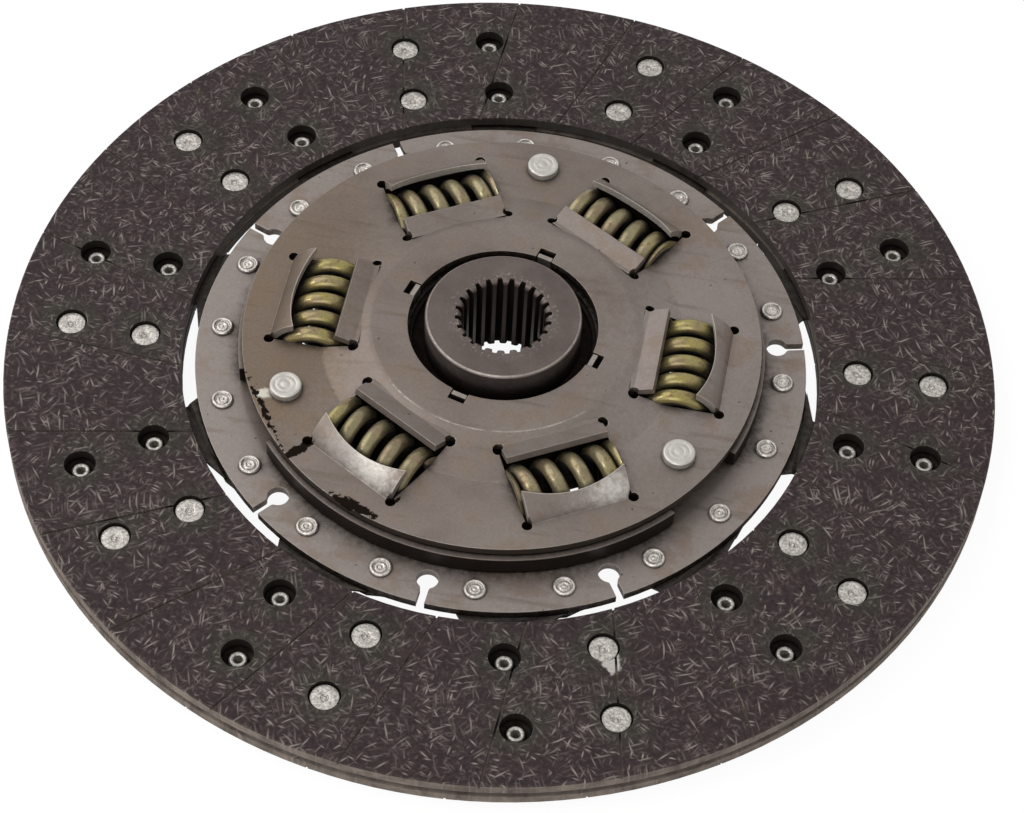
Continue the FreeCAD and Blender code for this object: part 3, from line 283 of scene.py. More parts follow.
def fibre_layer(tree, where, degrees, length, width, share):
    """Pale fibres that lie about one way: a number from 0, none, to 1, a bright one."""
    along = add(tree, "Mapping", {"vector_type": "TEXTURE"}, {
        "Vector": where, "Location": (37.0 * degrees, 11.0 * degrees, 0.0),
        "Rotation": (0.0, 0.0, math.radians(degrees)), "Scale": (length, width, 1.0)})
    cell = add(tree, "TexVoronoi", {"voronoi_dimensions": "2D"}, {
        "Vector": along.outputs[0], "Scale": 1.0, "Randomness": 1.0})
    chance = add(tree, "SeparateColor", {}, {"Color": cell.outputs["Color"]})
    body = add(tree, "MapRange", {"interpolation_type": "SMOOTHSTEP"}, {
        "Value": cell.outputs["Distance"], "From Min": 0.4, "From Max": 0.0})
    elsewhere = add(tree, "VectorMath", {"operation": "ADD"}, {
        0: where, 1: (31.0 * degrees, 17.0 * degrees, 0.0)})
    tuft = mottle(tree, elsewhere.outputs[0], 24.0, -0.3 * share, 2.3 * share)
    kept = add(tree, "Math", {"operation": "LESS_THAN"}, {0: chance.outputs[0], 1: tuft})
    bright = add(tree, "Math", {"operation": "POWER"}, {0: chance.outputs[1], 1: 3.0})
    shown = add(tree, "MapRange", {}, {"Value": bright.outputs[0], "To Min": 0.14, "To Max": 1.0})
    there = add(tree, "Math", {"operation": "MULTIPLY"}, {0: body.outputs[0], 1: kept.outputs[0]})
    return add(tree, "Math", {"operation": "MULTIPLY"}, {
        0: there.outputs[0], 1: shown.outputs[0]}).outputs[0]


# Moulded friction lining: matt, nearly black, with greyish patches where dust is pressed in
lining, tree, mm = new_material("moulded friction lining")
drift = add(tree, "TexNoise", {}, {"Vector": mm, "Scale": 1 / 15.0, "Detail": 1.0})
bent = add(tree, "VectorMath", {"operation": "MULTIPLY_ADD"}, {
    0: drift.outputs["Color"], 1: (4.0, 4.0, 0.0), 2: mm}).outputs[0]
fibres, crumbs = 0.0, 0.0
for number in range(9):
    layer = fibre_layer(tree, bent, 20.0 * number + 6.0, 5.0 + 2.4 * (number * 3 % 4), 1.2, 0.14)
    fibres = add(tree, "Math", {"operation": "MAXIMUM"}, {0: layer, 1: fibres}).outputs[0]
for degrees in (17.0, 74.0, 131.0):
    layer = fibre_layer(tree, bent, degrees, 3.6, 1.8, 0.34)
    crumbs = add(tree, "Math", {"operation": "MAXIMUM"}, {0: layer, 1: crumbs}).outputs[0]
print("fibre layers: 12, nodes:", len(tree.nodes))

# %% Lining, its dust, and the painted shade and light in its holes and grooves
spot = add(tree, "VectorMath", {"operation": "MULTIPLY"}, {
    0: folded(tree, mm, 36.0, 0.7), 1: (1.0, 1.0, 0.0)}).outputs[0]
apart = [add(tree, "VectorMath", {"operation": "DISTANCE"}, {
    0: spot, 1: (math.sqrt(ring * ring - 17.0 * 17.0), 17.0, 0.0)}).outputs["Value"]
    for ring in (158.5, 130.9)]
rivet_gap = add(tree, "Math", {"operation": "MINIMUM"}, {0: apart[0], 1: apart[1]}).outputs[0]
halo_limit = add(tree, "Math", {"operation": "MULTIPLY_ADD"}, {
    0: mottle(tree, mm, 9.0, -0.5, 0.5), 1: 9.0, 2: rivet_gap})
halo = band(tree, halo_limit.outputs[0], -9.0, 6.0, 9.0)
cloud = mottle(tree, mm, 24.0, 0.0, 0.55)
height = add(tree, "SeparateXYZ", {}, {0: mm}).outputs["Z"]
below_face = band(tree, height, 5.0, 14.5, 0.3)
paint = add(tree, "Mix", {"data_type": "RGBA"}, {
    0: cloud, 6: linear("2e2223"), 7: linear("37302f")}).outputs[2]
paint = stain(tree, paint, "33332a", halo, 0.5)
coarse = add(tree, "VectorMath", {"operation": "SCALE"}, {
    0: paint, "Scale": mottle(tree, mm, 4.0, 0.76, 1.26)})
paint = add(tree, "VectorMath", {"operation": "SCALE"}, {
    0: coarse.outputs[0], "Scale": mottle(tree, mm, 1.5, 0.5, 1.5)}).outputs[0]
paint = stain(tree, paint, "8a7d78", crumbs, 0.4)
clear_of_rivets = add(tree, "MapRange", {}, {"Value": halo, "To Min": 0.72, "To Max": 0.44})
paint = stain(tree, paint, "ada29a", fibres, clear_of_rivets.outputs[0])
paint = stain(tree, paint, "cbc6c0", mark(
    tree, mm, (60.5, -121.2, 15.0), -66.0, (7.3, 3.6, 3.0), 0.3, 0.25),
    mottle(tree, mm, 1.0, 0.6, 1.0))
edge = add(tree, "Bevel", {"samples": 4}, {"Radius": 0.3 * MM}).outputs[0]
paint = stain(tree, paint, "8d857c", rubbed_edge(tree, mm, edge), 0.4)
# Painted light: the grooves away from the rivets are painted paler to lift their shade
groove_lightening = mottle(tree, mm, 7.0, 0.25, 1.0)
paint = stain(tree, paint, "8d8177", below_face, band(tree, rivet_gap, 6.6, 90.0, 0.4), groove_lightening)
# Painted shade: the counterbores round the rivets are painted black
paint = stain(tree, paint, GREASE_AND_SHADE, below_face, band(tree, rivet_gap, -1.0, 6.2, 0.4), 0.93)
# Painted shade: the facing's inner wall is painted dark
inner_wall = band(tree, from_axis(tree, mm), 100.0, 117.1, 0.4)
paint = stain(tree, paint, GREASE_AND_SHADE, below_face, inner_wall, 0.8)
# Painted shade in the gaps near the rivets
close_to_rivet = band(tree, rivet_gap, -1.0, 7.0, 2.5)
paint = stain(tree, paint, GREASE_AND_SHADE, shut_in(tree, mm, 5.0, 0.25), close_to_rivet)
bump = add(tree, "Bump", {}, {
    "Strength": 0.45, "Distance": 0.12 * MM, "Height": mottle(tree, mm, 0.9, 0.0, 1.0),
    "Normal": edge})
rough = add(tree, "MapRange", {}, {"Value": cloud, "To Min": 0.68, "To Max": 0.88})
surface = add(tree, "BsdfPrincipled", {}, {
    "Base Color": paint, "Roughness": rough.outputs[0], "Specular IOR Level": 0.22,
    "Normal": bump.outputs[0]})
finish(tree, surface.outputs[0])
print("lining nodes:", len(tree.nodes))

# %% [markdown]
# ## Pressed plates
#
# Both plates are pressed from sheet steel, hardened and phosphated, which leaves a dull brownish
# grey. One side of the retaining plate has gone browner, the driven plate's ring is paler, and
# handling has left marks: grease is smeared black near two holes, and soft rivet metal is
# smeared beside one head. Two window flaps have pale patches. Light is painted on as well: the
# sheared edges and the ends of the flaps are painted bright, a painted highlight runs along the
# crease of the raised middle in places, and painted shade darkens the plate's rim and its gaps.
# A mark is one oval at its place on the disc. What repeats at every window is found in one
# folded slice instead.

# %% Plate steel: sheet, stains and specks
# Phosphated sheet steel: half metal, half a dull film, so it shows soft broad highlights
plate, tree, mm = new_material("phosphated sheet steel")
radius = from_axis(tree, mm)
height = add(tree, "SeparateXYZ", {}, {0: mm}).outputs["Z"]
cloud = mottle(tree, mm, 34.0, 0.0, 1.0)
paint = add(tree, "Mix", {"data_type": "RGBA"}, {
    0: cloud, 6: linear("6e635c"), 7: linear("827973")}).outputs[2]
paint = stain(tree, paint, "6e5f50", mark(
    tree, mm, (-80.0, -8.0, 26.0), 0.0, (42.0, 84.0, 12.0), 0.3, 0.6), 0.7)
paint = stain(tree, paint, "918783", mark(
    tree, mm, (66.0, 10.0, 26.0), 0.0, (52.0, 86.0, 14.0), 0.3, 0.8), 0.55)
paint = stain(tree, paint, "8b827d", band(tree, radius, 97.0, 140.0, 2.0), 0.85)
long_drift = add(tree, "Mapping", {}, {
    "Vector": mm, "Rotation": (0.0, 0.0, math.radians(-25)), "Scale": (0.03, 0.28, 0.1)})
streaks = add(tree, "TexNoise", {}, {
    "Vector": long_drift.outputs[0], "Scale": 1.0, "Detail": 3.0}).outputs["Fac"]
paint = stain(tree, paint, "75624f", band(tree, mottle(tree, mm, 17.0, 0.0, 1.0), 0.85, 2.0, 0.3), 0.4)
paint = stain(tree, paint, "615549", band(tree, streaks, 0.74, 2.0, 0.18), 0.4)
speck = add(tree, "TexVoronoi", {}, {"Vector": mm, "Scale": 1 / 6.0})
speck_chance = add(tree, "SeparateColor", {}, {"Color": speck.outputs["Color"]})
speck_size = add(tree, "Math", {"operation": "MULTIPLY"}, {0: speck_chance.outputs[0], 1: 0.09})
speck_on = add(tree, "Math", {"operation": "LESS_THAN"}, {
    0: speck.outputs["Distance"], 1: speck_size.outputs[0]})
paint = stain(tree, paint, "453b33", speck_on.outputs[0], 0.7)
print("sheet, stains and specks:", len(tree.nodes), "nodes")

# %% Plate steel: pale flap patches, painted light on the sheared edges and a painted crease highlight
in_window = add(tree, "SeparateXYZ", {}, {0: folded(tree, mm, 360 / WINDOWS, 0.0)}).outputs
on_flap = band(tree, in_window["X"], 68.0, 82.0, 1.0)
between_ends = band(tree, in_window["Y"], -1.0, 18.8, 0.1)
grainy = mottle(tree, mm, 1.3, 0.6, 1.0)
# Pale patches painted on the outer flaps of the fourth and fifth windows
for number, along, size, soft, strength in (
        (4, 0.0, (9.0, 20.0, 12.0), 0.8, 0.35), (4, 8.5, (8.5, 14.0, 12.0), 0.9, 0.85),
        (5, 13.0, (8.0, 12.0, 12.0), 0.9, 0.8), (5, 6.0, (8.0, 19.0, 12.0), 0.9, 0.25)):
    pale_patch = mark(tree, mm, by_window(number, 78.5, along, 28.0), 60 * number, size, 0.4, soft)
    paint = stain(tree, paint, "d2cec6", pale_patch, on_flap, between_ends, grainy, strength)
flat_spot = add(tree, "CombineXYZ", {}, {"X": in_window["X"], "Y": in_window["Y"]})
from_arc = add(tree, "VectorMath", {"operation": "DISTANCE"}, {
    0: flat_spot.outputs[0], 1: (31.4, 0.0, 0.0)}).outputs["Value"]
upper_side = band(tree, height, 25.0, 40.0, 1.0)
# Painted light: the sheared edges of the flaps, which face away from the lamps, are painted bright,
# and painted shade is kept off them further down
sheared_edge_light = add(tree, "Math", {"operation": "MULTIPLY"}, {
    0: band(tree, from_arc, 45.8, 46.1, 0.15), 1: between_ends}).outputs[0]
paint = stain(tree, paint, "d0c9c0", sheared_edge_light, upper_side, grainy, 0.9)
# Painted light: the ends of the flaps are painted paler
flap_end_light = band(tree, in_window["Y"], 18.8, 19.0, 0.1)
paint = stain(tree, paint, "c4bdb4", flap_end_light, upper_side, on_flap, grainy, 0.5)
paint = stain(tree, paint, "c9c4ba", mark(
    tree, mm, (-77.3, -44.0, 26.0), 20.0, (5.5, 2.8, 3.0), 0.4, 0.4), 0.9)
# A painted highlight along the crease of the raised middle, on the near side
crease_highlight = mark(tree, mm, (5.0, -48.0, 29.0), 0.0, (46.0, 30.0, 12.0), 0.3, 0.2)
paint = stain(tree, paint, "b5aea7", band(tree, radius, 48.3, 48.5, 0.35), crease_highlight,
              mottle(tree, mm, 6.0, -0.1, 0.9))
paint = add(tree, "VectorMath", {"operation": "SCALE"}, {
    0: paint, "Scale": mottle(tree, mm, 1.0, 0.9, 1.08)}).outputs[0]
edge = add(tree, "Bevel", {"samples": 6}, {"Radius": 0.4 * MM}).outputs[0]
paint = stain(tree, paint, "b3aba2", rubbed_edge(tree, mm, edge), 0.8)
print("with the rubbed places:", len(tree.nodes), "nodes")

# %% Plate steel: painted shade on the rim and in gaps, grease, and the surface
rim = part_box("retaining_plate")[1][0] / MM
# Painted shade: the plate's side wall at its rim is painted dark
paint = stain(tree, paint, "2c231d", band(tree, radius, rim - 0.1, rim + 2.0, 0.1),
              band(tree, height, 20.0, 25.4, 0.3), 0.85)
grease = 0.0
for centre, degrees, size, ragged in (
        ((-60.0, -65.5, 26.0), 46.0, (6.0, 1.9, 3.0), 0.8),
        ((-36.0, -85.6, 26.0), -20.0, (10.0, 2.1, 3.0), 0.7),
        ((-77.0, -51.0, 26.0), -56.0, (13.0, 1.2, 3.0), 2.6),
        ((-22.0, -80.0, 26.0), 60.0, (2.6, 0.8, 3.0), 0.9)):
    patch = mark(tree, mm, centre, degrees, size, ragged, 0.15)
    grease = add(tree, "Math", {"operation": "MAXIMUM"}, {0: patch, 1: grease}).outputs[0]
# Painted shade in gaps and hollows, kept off the sheared edges; with the grease it darkens, dulls and
# un-metals the paint
shade_kept = add(tree, "Math", {"operation": "MULTIPLY_ADD"}, {0: sheared_edge_light, 1: -0.85, 2: 1.0})
shut = add(tree, "Math", {"operation": "MULTIPLY"}, {
    0: shade_kept.outputs[0], 1: shut_in(tree, mm, 11.0, 0.2)})
dark = add(tree, "Math", {"operation": "MAXIMUM"}, {0: grease, 1: shut.outputs[0]}).outputs[0]
bump = add(tree, "Bump", {}, {
    "Strength": 0.22, "Distance": 0.05 * MM, "Height": mottle(tree, mm, 0.8, 0.0, 1.0),
    "Normal": edge})
rough = add(tree, "MapRange", {}, {"Value": cloud, "To Min": 0.4, "To Max": 0.52})
dull = add(tree, "Mix", {}, {0: dark, 2: rough.outputs[0], 3: 0.9})
still_metal = add(tree, "MapRange", {}, {"Value": dark, "To Min": 0.7, "To Max": 0.0})
surface = add(tree, "BsdfPrincipled", {}, {
    "Base Color": stain(tree, paint, GREASE_AND_SHADE, dark), "Metallic": still_metal.outputs[0],
    "Roughness": dull.outputs[0], "Specular IOR Level": 0.08, "Normal": bump.outputs[0]})
finish(tree, surface.outputs[0])
print("plate nodes:", len(tree.nodes), "rim radius:", round(rim, 1), "mm")

# %% [markdown]
# ## Strip, rivets and rings
#
# The cushion segments are spring strip with a satin face. Rivets are soft bare metal, coarse
# where the punch has struck. The rings inside the damper are hardly seen: a moulded friction
# ring and steel rings, with painted shade over all but the tabs. One function mixes them all, from
# two tones, the size of the patches, the grain, the gloss, and how far painted shade reaches out of a
# gap.

# %% Other metals and the friction ring


def metal(name, tones, patch, grain, rough, metallic, rounding, gap, worn):
    """A finish with patches of two tones, fine grain, rubbed edges and painted shade in its gaps."""
    material, tree, mm = new_material(name)
    cloud = mottle(tree, mm, patch, 0.0, 1.0)
    tone = add(tree, "Mix", {"data_type": "RGBA"}, {
        0: cloud, 6: linear(tones[0]), 7: linear(tones[1])})
    paint = add(tree, "VectorMath", {"operation": "SCALE"}, {
        0: tone.outputs[2], "Scale": mottle(tree, mm, *grain)}).outputs[0]
    edge = add(tree, "Bevel", {"samples": 6}, {"Radius": rounding * MM}).outputs[0]
    paint = stain(tree, paint, worn, rubbed_edge(tree, mm, edge), 0.8)
    # Painted shade: gaps and hollows are painted dark, matt and less metallic
    shut = shut_in(tree, mm, gap, 0.15)
    bump = add(tree, "Bump", {}, {
        "Strength": 0.35, "Distance": 0.05 * MM, "Height": mottle(tree, mm, grain[0], 0.0, 1.0),
        "Normal": edge})
    gloss = add(tree, "MapRange", {}, {"Value": cloud, "To Min": rough[0], "To Max": rough[1]})
    dull = add(tree, "Mix", {}, {0: shut, 2: gloss.outputs[0], 3: 0.95})
    still_metal = add(tree, "MapRange", {}, {"Value": shut, "To Min": metallic, "To Max": 0.0})
    surface = add(tree, "BsdfPrincipled", {}, {
        "Base Color": stain(tree, paint, GREASE_AND_SHADE, shut), "Metallic": still_metal.outputs[0],
        "Roughness": dull.outputs[0], "Specular IOR Level": 0.12, "Normal": bump.outputs[0]})
    finish(tree, surface.outputs[0])
    return material


strip_steel = metal("satin spring strip", ("5f5853", "746d67"), 18.0, (0.6, 0.9, 1.1),
                    (0.4, 0.55), 0.7, 0.15, 8.0, "8f8983")
struck_metal = metal("struck rivet metal", ("a8a29c", "cec9c2"), 2.2, (0.9, 0.38, 1.34),
                     (0.35, 0.5), 0.75, 0.12, 2.0, "e2ded8")
cupped_metal = metal("cupped rivet metal", ("b0a8a1", "e2dcd5"), 1.6, (0.7, 0.5, 1.25),
                     (0.3, 0.45), 0.75, 0.2, 2.6, "f4f0ea")
formed_metal = metal("formed rivet metal", ("aeaaa3", "c4c1bb"), 4.0, (0.8, 0.92, 1.06),
                     (0.35, 0.48), 0.75, 0.15, 2.0, "dcd9d3")
ring_steel = metal("oiled ring steel", ("827c75", "9a948c"), 6.0, (0.5, 0.85, 1.1),
                   (0.35, 0.5), 0.75, 0.1, 9.0, "b5afa7")
friction_moulding = metal("moulded friction ring", ("2b2724", "3b3530"), 6.0, (0.5, 0.85, 1.1),
                          (0.6, 0.8), 0.0, 0.2, 6.0, "3f3933")
print("metals:", [item.name for item in (strip_steel, struck_metal, cupped_metal, formed_metal,
                                          ring_steel, friction_moulding)])

# %% [markdown]
# ## Spring wire
#
# The wire is hard drawn and tempered in oil, which leaves an olive-grey skin, golden where it is
# clean and brown where it rusts. It is the glossiest thing on the disc. The inside of each coil
# is painted black and matt as shade, and only the distance from the coil's own line tells it
# from the outside, so that is measured in the folded slice, where all six springs are one.

# %% Spring wire
# Oil-tempered wire: an olive-grey skin over metal, so its highlights are whitish and small
spring_wire, tree, mm = new_material("oil-tempered spring wire")
SPRING_CIRCLE, DAMPER_MIDDLE = 66.75, 18.15
cloud = mottle(tree, mm, 6.0, 0.0, 1.0)
paint = add(tree, "Mix", {"data_type": "RGBA"}, {
    0: cloud, 6: linear("746a51"), 7: linear("a09673")}).outputs[2]
sideways = add(tree, "VectorMath", {"operation": "ABSOLUTE"}, {0: mm})
to_side = add(tree, "SeparateXYZ", {}, {0: sideways.outputs[0]}).outputs["X"]
paint = stain(tree, paint, "9a8c4c", band(tree, to_side, 56.0, 99.0, 14.0),
              mottle(tree, mm, 5.0, 0.2, 0.9))
paint = stain(tree, paint, "84705c", band(tree, mottle(tree, mm, 8.0, 0.0, 1.0), 0.75, 2.0, 0.3), 0.6)
paint = stain(tree, paint, "6f4f35", band(tree, mottle(tree, mm, 3.0, 0.0, 1.0), 0.86, 2.0, 0.12), 0.6)
paint = add(tree, "VectorMath", {"operation": "SCALE"}, {
    0: paint, "Scale": mottle(tree, mm, 0.7, 0.8, 1.15)}).outputs[0]
across = add(tree, "VectorMath", {"operation": "SUBTRACT"}, {
    0: folded(tree, mm, 360 / WINDOWS, 0.0), 1: (SPRING_CIRCLE, 0.0, DAMPER_MIDDLE)})
flat = add(tree, "VectorMath", {"operation": "MULTIPLY"}, {0: across.outputs[0], 1: (1.0, 0.0, 1.0)})
from_coil = add(tree, "VectorMath", {"operation": "LENGTH"}, {0: flat.outputs[0]}).outputs["Value"]
# Painted shade: the inside of each coil and the gaps are painted black, matt and not metallic
coil_shade = add(tree, "Math", {"operation": "MAXIMUM"}, {
    0: band(tree, from_coil, -1.0, 9.6, 1.6), 1: shut_in(tree, mm, 6.0, 0.15)}).outputs[0]
bump = add(tree, "Bump", {}, {
    "Strength": 0.15, "Distance": 0.05 * MM, "Height": mottle(tree, mm, 0.7, 0.0, 1.0)})
gloss = add(tree, "MapRange", {}, {"Value": coil_shade, "To Min": 0.24, "To Max": 0.95})
still_metal = add(tree, "MapRange", {}, {"Value": coil_shade, "To Min": 0.5, "To Max": 0.0})
surface = add(tree, "BsdfPrincipled", {}, {
    "Base Color": stain(tree, paint, GREASE_AND_SHADE, coil_shade), "Metallic": still_metal.outputs[0],
    "Roughness": gloss.outputs[0], "Specular IOR Level": 0.3, "Normal": bump.outputs[0]})
finish(tree, surface.outputs[0])
print("spring wire nodes:", len(tree.nodes))

# %% [markdown]
# ## Hub
#
# The hub is a forging, turned on its collar and broached in its bore, and browned by oil. Its
# turned rim has a painted highlight, a thin bright line, the bore is painted black as shade but
# for the tips of its teeth, and small nicks lie round the mouth where a shaft has been pushed in.
# The flange between the two plates is seen only by its rim, painted dark as shade with a painted
# highlight along its upper edge.

# %% Hub steel
# Turned forging: brown-grey and oily, with soft highlights
hub_steel, tree, mm = new_material("turned forging, oiled")
COLLAR_RADIUS, HUB_TOP, TOOTH_TIP = 28.4, 37.0, 15.1
cloud = mottle(tree, mm, 13.0, 0.0, 1.0)
radius = from_axis(tree, mm)
height = add(tree, "SeparateXYZ", {}, {0: mm}).outputs["Z"]
edge = add(tree, "Bevel", {"samples": 6}, {"Radius": 0.35 * MM}).outputs[0]
tone = add(tree, "Mix", {"data_type": "RGBA"}, {
    0: cloud, 6: linear("584e4b"), 7: linear("685e5a")})
paint = add(tree, "VectorMath", {"operation": "SCALE"}, {
    0: tone.outputs[2], "Scale": mottle(tree, mm, 0.7, 0.9, 1.08)}).outputs[0]
paint = stain(tree, paint, "a0968f", rubbed_edge(tree, mm, edge), 0.6)
# A painted highlight: a thin bright line on the collar's turned rim
collar_highlight = band(tree, radius, COLLAR_RADIUS - 0.75, COLLAR_RADIUS - 0.4, 0.15)
paint = stain(tree, paint, "a89f98", collar_highlight, band(tree, height, 36.3, 38.0, 0.1),
              mottle(tree, mm, 2.0, 0.3, 0.9))
nicks = band(tree, mottle(tree, mm, 1.1, 0.0, 1.0), 0.85, 2.0, 0.2)
paint = stain(tree, paint, "9a908a", nicks, band(tree, radius, 17.0, 18.8, 3.0),
              band(tree, height, 36.6, 38.0, 0.3), 0.45)
# Painted shade: below its mouth the bore is painted dark on the teeth and black in the spaces
below_mouth = band(tree, height, -1.0, 35.6, 0.9)
tooth_lands = band(tree, radius, 0.0, TOOTH_TIP + 0.25, 0.3)
in_bore = band(tree, radius, 0.0, 17.7, 0.4)
paint = stain(tree, paint, "2b231f", below_mouth, tooth_lands, 0.95)
spaces = add(tree, "Math", {"operation": "SUBTRACT"}, {0: in_bore, 1: tooth_lands})
tooth_spaces = add(tree, "Math", {"operation": "MULTIPLY"}, {0: spaces.outputs[0], 1: below_mouth})
paint = stain(tree, paint, GREASE_AND_SHADE, tooth_spaces.outputs[0], 0.95)
# Painted shade on the flange's rim, with a painted highlight along its upper edge
flange_rim = band(tree, radius, 62.0, 120.0, 2.0)
paint = stain(tree, paint, GREASE_AND_SHADE, flange_rim, 0.9)
paint = stain(tree, paint, "a2968f", flange_rim, band(tree, height, 21.3, 21.7, 0.25), 0.7)
# Painted shade in gaps and hollows; with the tooth spaces it darkens, dulls and un-metals the surface
shut = shut_in(tree, mm, 14.0, 0.1)
dark = add(tree, "Math", {"operation": "MAXIMUM"}, {0: shut, 1: tooth_spaces.outputs[0]}).outputs[0]
bump = add(tree, "Bump", {}, {
    "Strength": 0.2, "Distance": 0.05 * MM, "Height": mottle(tree, mm, 0.6, 0.0, 1.0),
    "Normal": edge})
still_metal = add(tree, "MapRange", {}, {"Value": dark, "To Min": 0.75, "To Max": 0.0})
rough = add(tree, "MapRange", {}, {"Value": cloud, "To Min": 0.36, "To Max": 0.5})
dull = add(tree, "Mix", {}, {0: dark, 2: rough.outputs[0], 3: 0.95})
surface = add(tree, "BsdfPrincipled", {}, {
    "Base Color": stain(tree, paint, GREASE_AND_SHADE, shut), "Metallic": still_metal.outputs[0],
    "Roughness": dull.outputs[0], "Specular IOR Level": 0.1, "Normal": bump.outputs[0]})
finish(tree, surface.outputs[0])
print("hub nodes:", len(tree.nodes))

# %% Hand out the finishes
finishes = {
    "friction_facing": lining, "plate_steel": plate, "hub_steel": hub_steel,
    "spring_steel": ring_steel, "segment_steel": strip_steel, "rivet_steel": formed_metal,
    "friction_ring": friction_moulding}
for subpart in frame["record"]["subparts"]:
    node = frame["nodes"][subpart["node"]]
    node.data.materials.clear()
    node.data.materials.append(finishes[subpart["material_slot"]])
print("finishes:", sorted({material.name for material in finishes.values()}))

# %% [markdown]
# ## Rivets
#
# A rivet is turned from one section, so a spin of a few points makes it. The spin leaves hard
# rims, and a bevel of the sharp ones gives the softness of struck metal. One stamp is made for
# each kind and copied to its places, because twenty equal rivets share one shape.

# %% Lathe and stamps


def lathe(section, steps, softness):
    """Spin a section of (radius, height) points about Z and round its sharp rims."""
    shape = bmesh.new()
    points = [shape.verts.new((r * MM, 0.0, z * MM)) for r, z in section]
    lines = [shape.edges.new(pair) for pair in zip(points, points[1:])]
    bmesh.ops.spin(shape, geom=points + lines, cent=(0, 0, 0), axis=(0, 0, 1),
                   angle=2 * math.pi, steps=steps, use_merge=True)
    bmesh.ops.remove_doubles(shape, verts=shape.verts, dist=0.001 * MM)
    bmesh.ops.recalc_face_normals(shape, faces=shape.faces)
    if softness:
        sharp = [line for line in shape.edges
                 if len(line.link_faces) == 2 and line.calc_face_angle() > math.radians(32)]
        bmesh.ops.bevel(shape, geom=sharp, offset=softness * MM, offset_type="OFFSET",
                        affect="EDGES", segments=2, profile=0.5, material=-1, clamp_overlap=True)
    mesh = bpy.data.meshes.new("stamp")
    shape.to_mesh(mesh)
    shape.free()
    return mesh


def piece_from(name, shape, material):
    """Turn a bmesh into an object at the origin, smooth but for its sharp rims."""
    mesh = bpy.data.meshes.new(name)
    shape.to_mesh(mesh)
    shape.free()
    for face in mesh.polygons:
        face.use_smooth = True
    mesh.set_sharp_from_angle(angle=math.radians(40))
    mesh.materials.append(material)
    piece = bpy.data.objects.new(name, mesh)
    scene.collection.objects.link(piece)
    return piece


def stamped(name, stamp, places, material):
    """Copy one stamp to many places in one piece."""
    joined = bmesh.new()
    for place in places:
        before = set(joined.verts)
        joined.from_mesh(stamp)
        bmesh.ops.transform(joined, matrix=place, verts=[v for v in joined.verts if v not in before])
    bmesh.ops.recalc_face_normals(joined, faces=joined.faces)
    piece = piece_from(name, joined, material)
    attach(piece, "disc")
    return piece


def carried(radius, degrees):
    """Out to a radius along X, then turned about the disc's axis."""
    return Matrix.Rotation(math.radians(degrees), 4, "Z") @ Matrix.Translation((radius * MM, 0, 0))


# %% Facing rivets
facing_stamp = lathe([
    (0, 13.6), (0.45, 13.5), (0.7, 13.15), (1.25, 13.15), (1.6, 13.7), (4.95, 13.7), (5.2, 13.45), (5.2, 12.6), (2.4, 12.6),
    (2.4, 10.0), (3.2, 10.0), (3.2, 8.6), (2.75, 8.2), (1.95, 8.2), (1.5, 8.6), (1.5, 12.6),
    (0, 12.6)], 32, 0.12)
SEGMENT_ANGLE = 36.7
MIDDLE_OF_STACK = 9.7
turned_over = Matrix.Translation((0, 0, 2 * MIDDLE_OF_STACK * MM)) @ Matrix.Scale(-1, 4, (0, 0, 1))
upper_places, lower_places = [], []
for ring in (158.5, 130.9):
    off = math.degrees(math.asin(17.0 / ring))
    for number in range(10):
        upper_places.append(carried(ring, SEGMENT_ANGLE + 36 * number + off))
        lower_places.append(carried(ring, SEGMENT_ANGLE + 36 * number - off) @ turned_over)
rivets_up = stamped("facing_rivet_heads_up", facing_stamp, upper_places, struck_metal)
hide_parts("facing_rivets_upper")
rivets_down = stamped("facing_rivet_heads_down", facing_stamp, lower_places, struck_metal)
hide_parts("facing_rivets_lower")
print("facing rivets:", len(upper_places) + len(lower_places))

# %% Segment rivets and spacer rivets
segment_stamp = lathe([
    (0, 7.9), (3.25, 7.9), (3.9, 8.55), (3.9, 9.2), (2.6, 9.2), (2.6, 13.4), (3.9, 13.4),
    (3.9, 14.25), (3.5, 14.7), (3.05, 14.7), (2.7, 14.0), (2.35, 13.85), (1.9, 14.25),
    (1.35, 14.3), (1.05, 14.0), (0.6, 14.0), (0.4, 14.25), (0, 14.3)], 28, 0.08)
segment_places = [carried(103.4, 32.3 + 36 * number + side)
                  for number in range(10) for side in (-8.6, 8.6)]
segment_pieces = stamped("segment_rivets_struck", segment_stamp, segment_places, cupped_metal)
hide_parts("segment_rivets")
spacer_stamp = lathe([
    (0, 7.0), (5.3, 7.0), (5.8, 7.5), (5.8, 10.2), (4.0, 10.2), (4.0, 13.4), (5.5, 13.4),
    (5.5, 22.9), (4.0, 22.9), (4.0, 25.9), (5.8, 25.9), (5.8, 28.6), (5.3, 29.1), (3.9, 29.1),
    (3.7, 29.0), (3.5, 29.08), (2.0, 29.08), (1.8, 28.98), (1.6, 29.06), (0, 29.1)], 40, 0.12)
spacer_pieces = stamped("spacer_rivets_struck", spacer_stamp,
                        [carried(82.0, 90 + 120 * number) for number in range(3)], formed_metal)
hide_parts("spacer_rivets")
print("segment rivets:", len(segment_places), "spacer rivets: 3")

# %% [markdown]
# ## Torsion springs
#
# A coil spring is round wire wound on a mandrel: its ends are closed, one coil on the next, and
# ground flat so that they sit square in the window. A curve with a bevel could draw it, but the
# grinding needs a mesh. So a circle is spun with a rise at each step, slowly in the closed turns
# and faster in the middle, and the two ends are cut off flat.

# %% Wind and grind the springs
COIL_RADIUS, WIRE_RADIUS, HALF_LENGTH, TIP = 10.1, 2.9, 19.68, 1.45
CLOSED_TURNS, CLOSED_PITCH = 0.9, 5.8
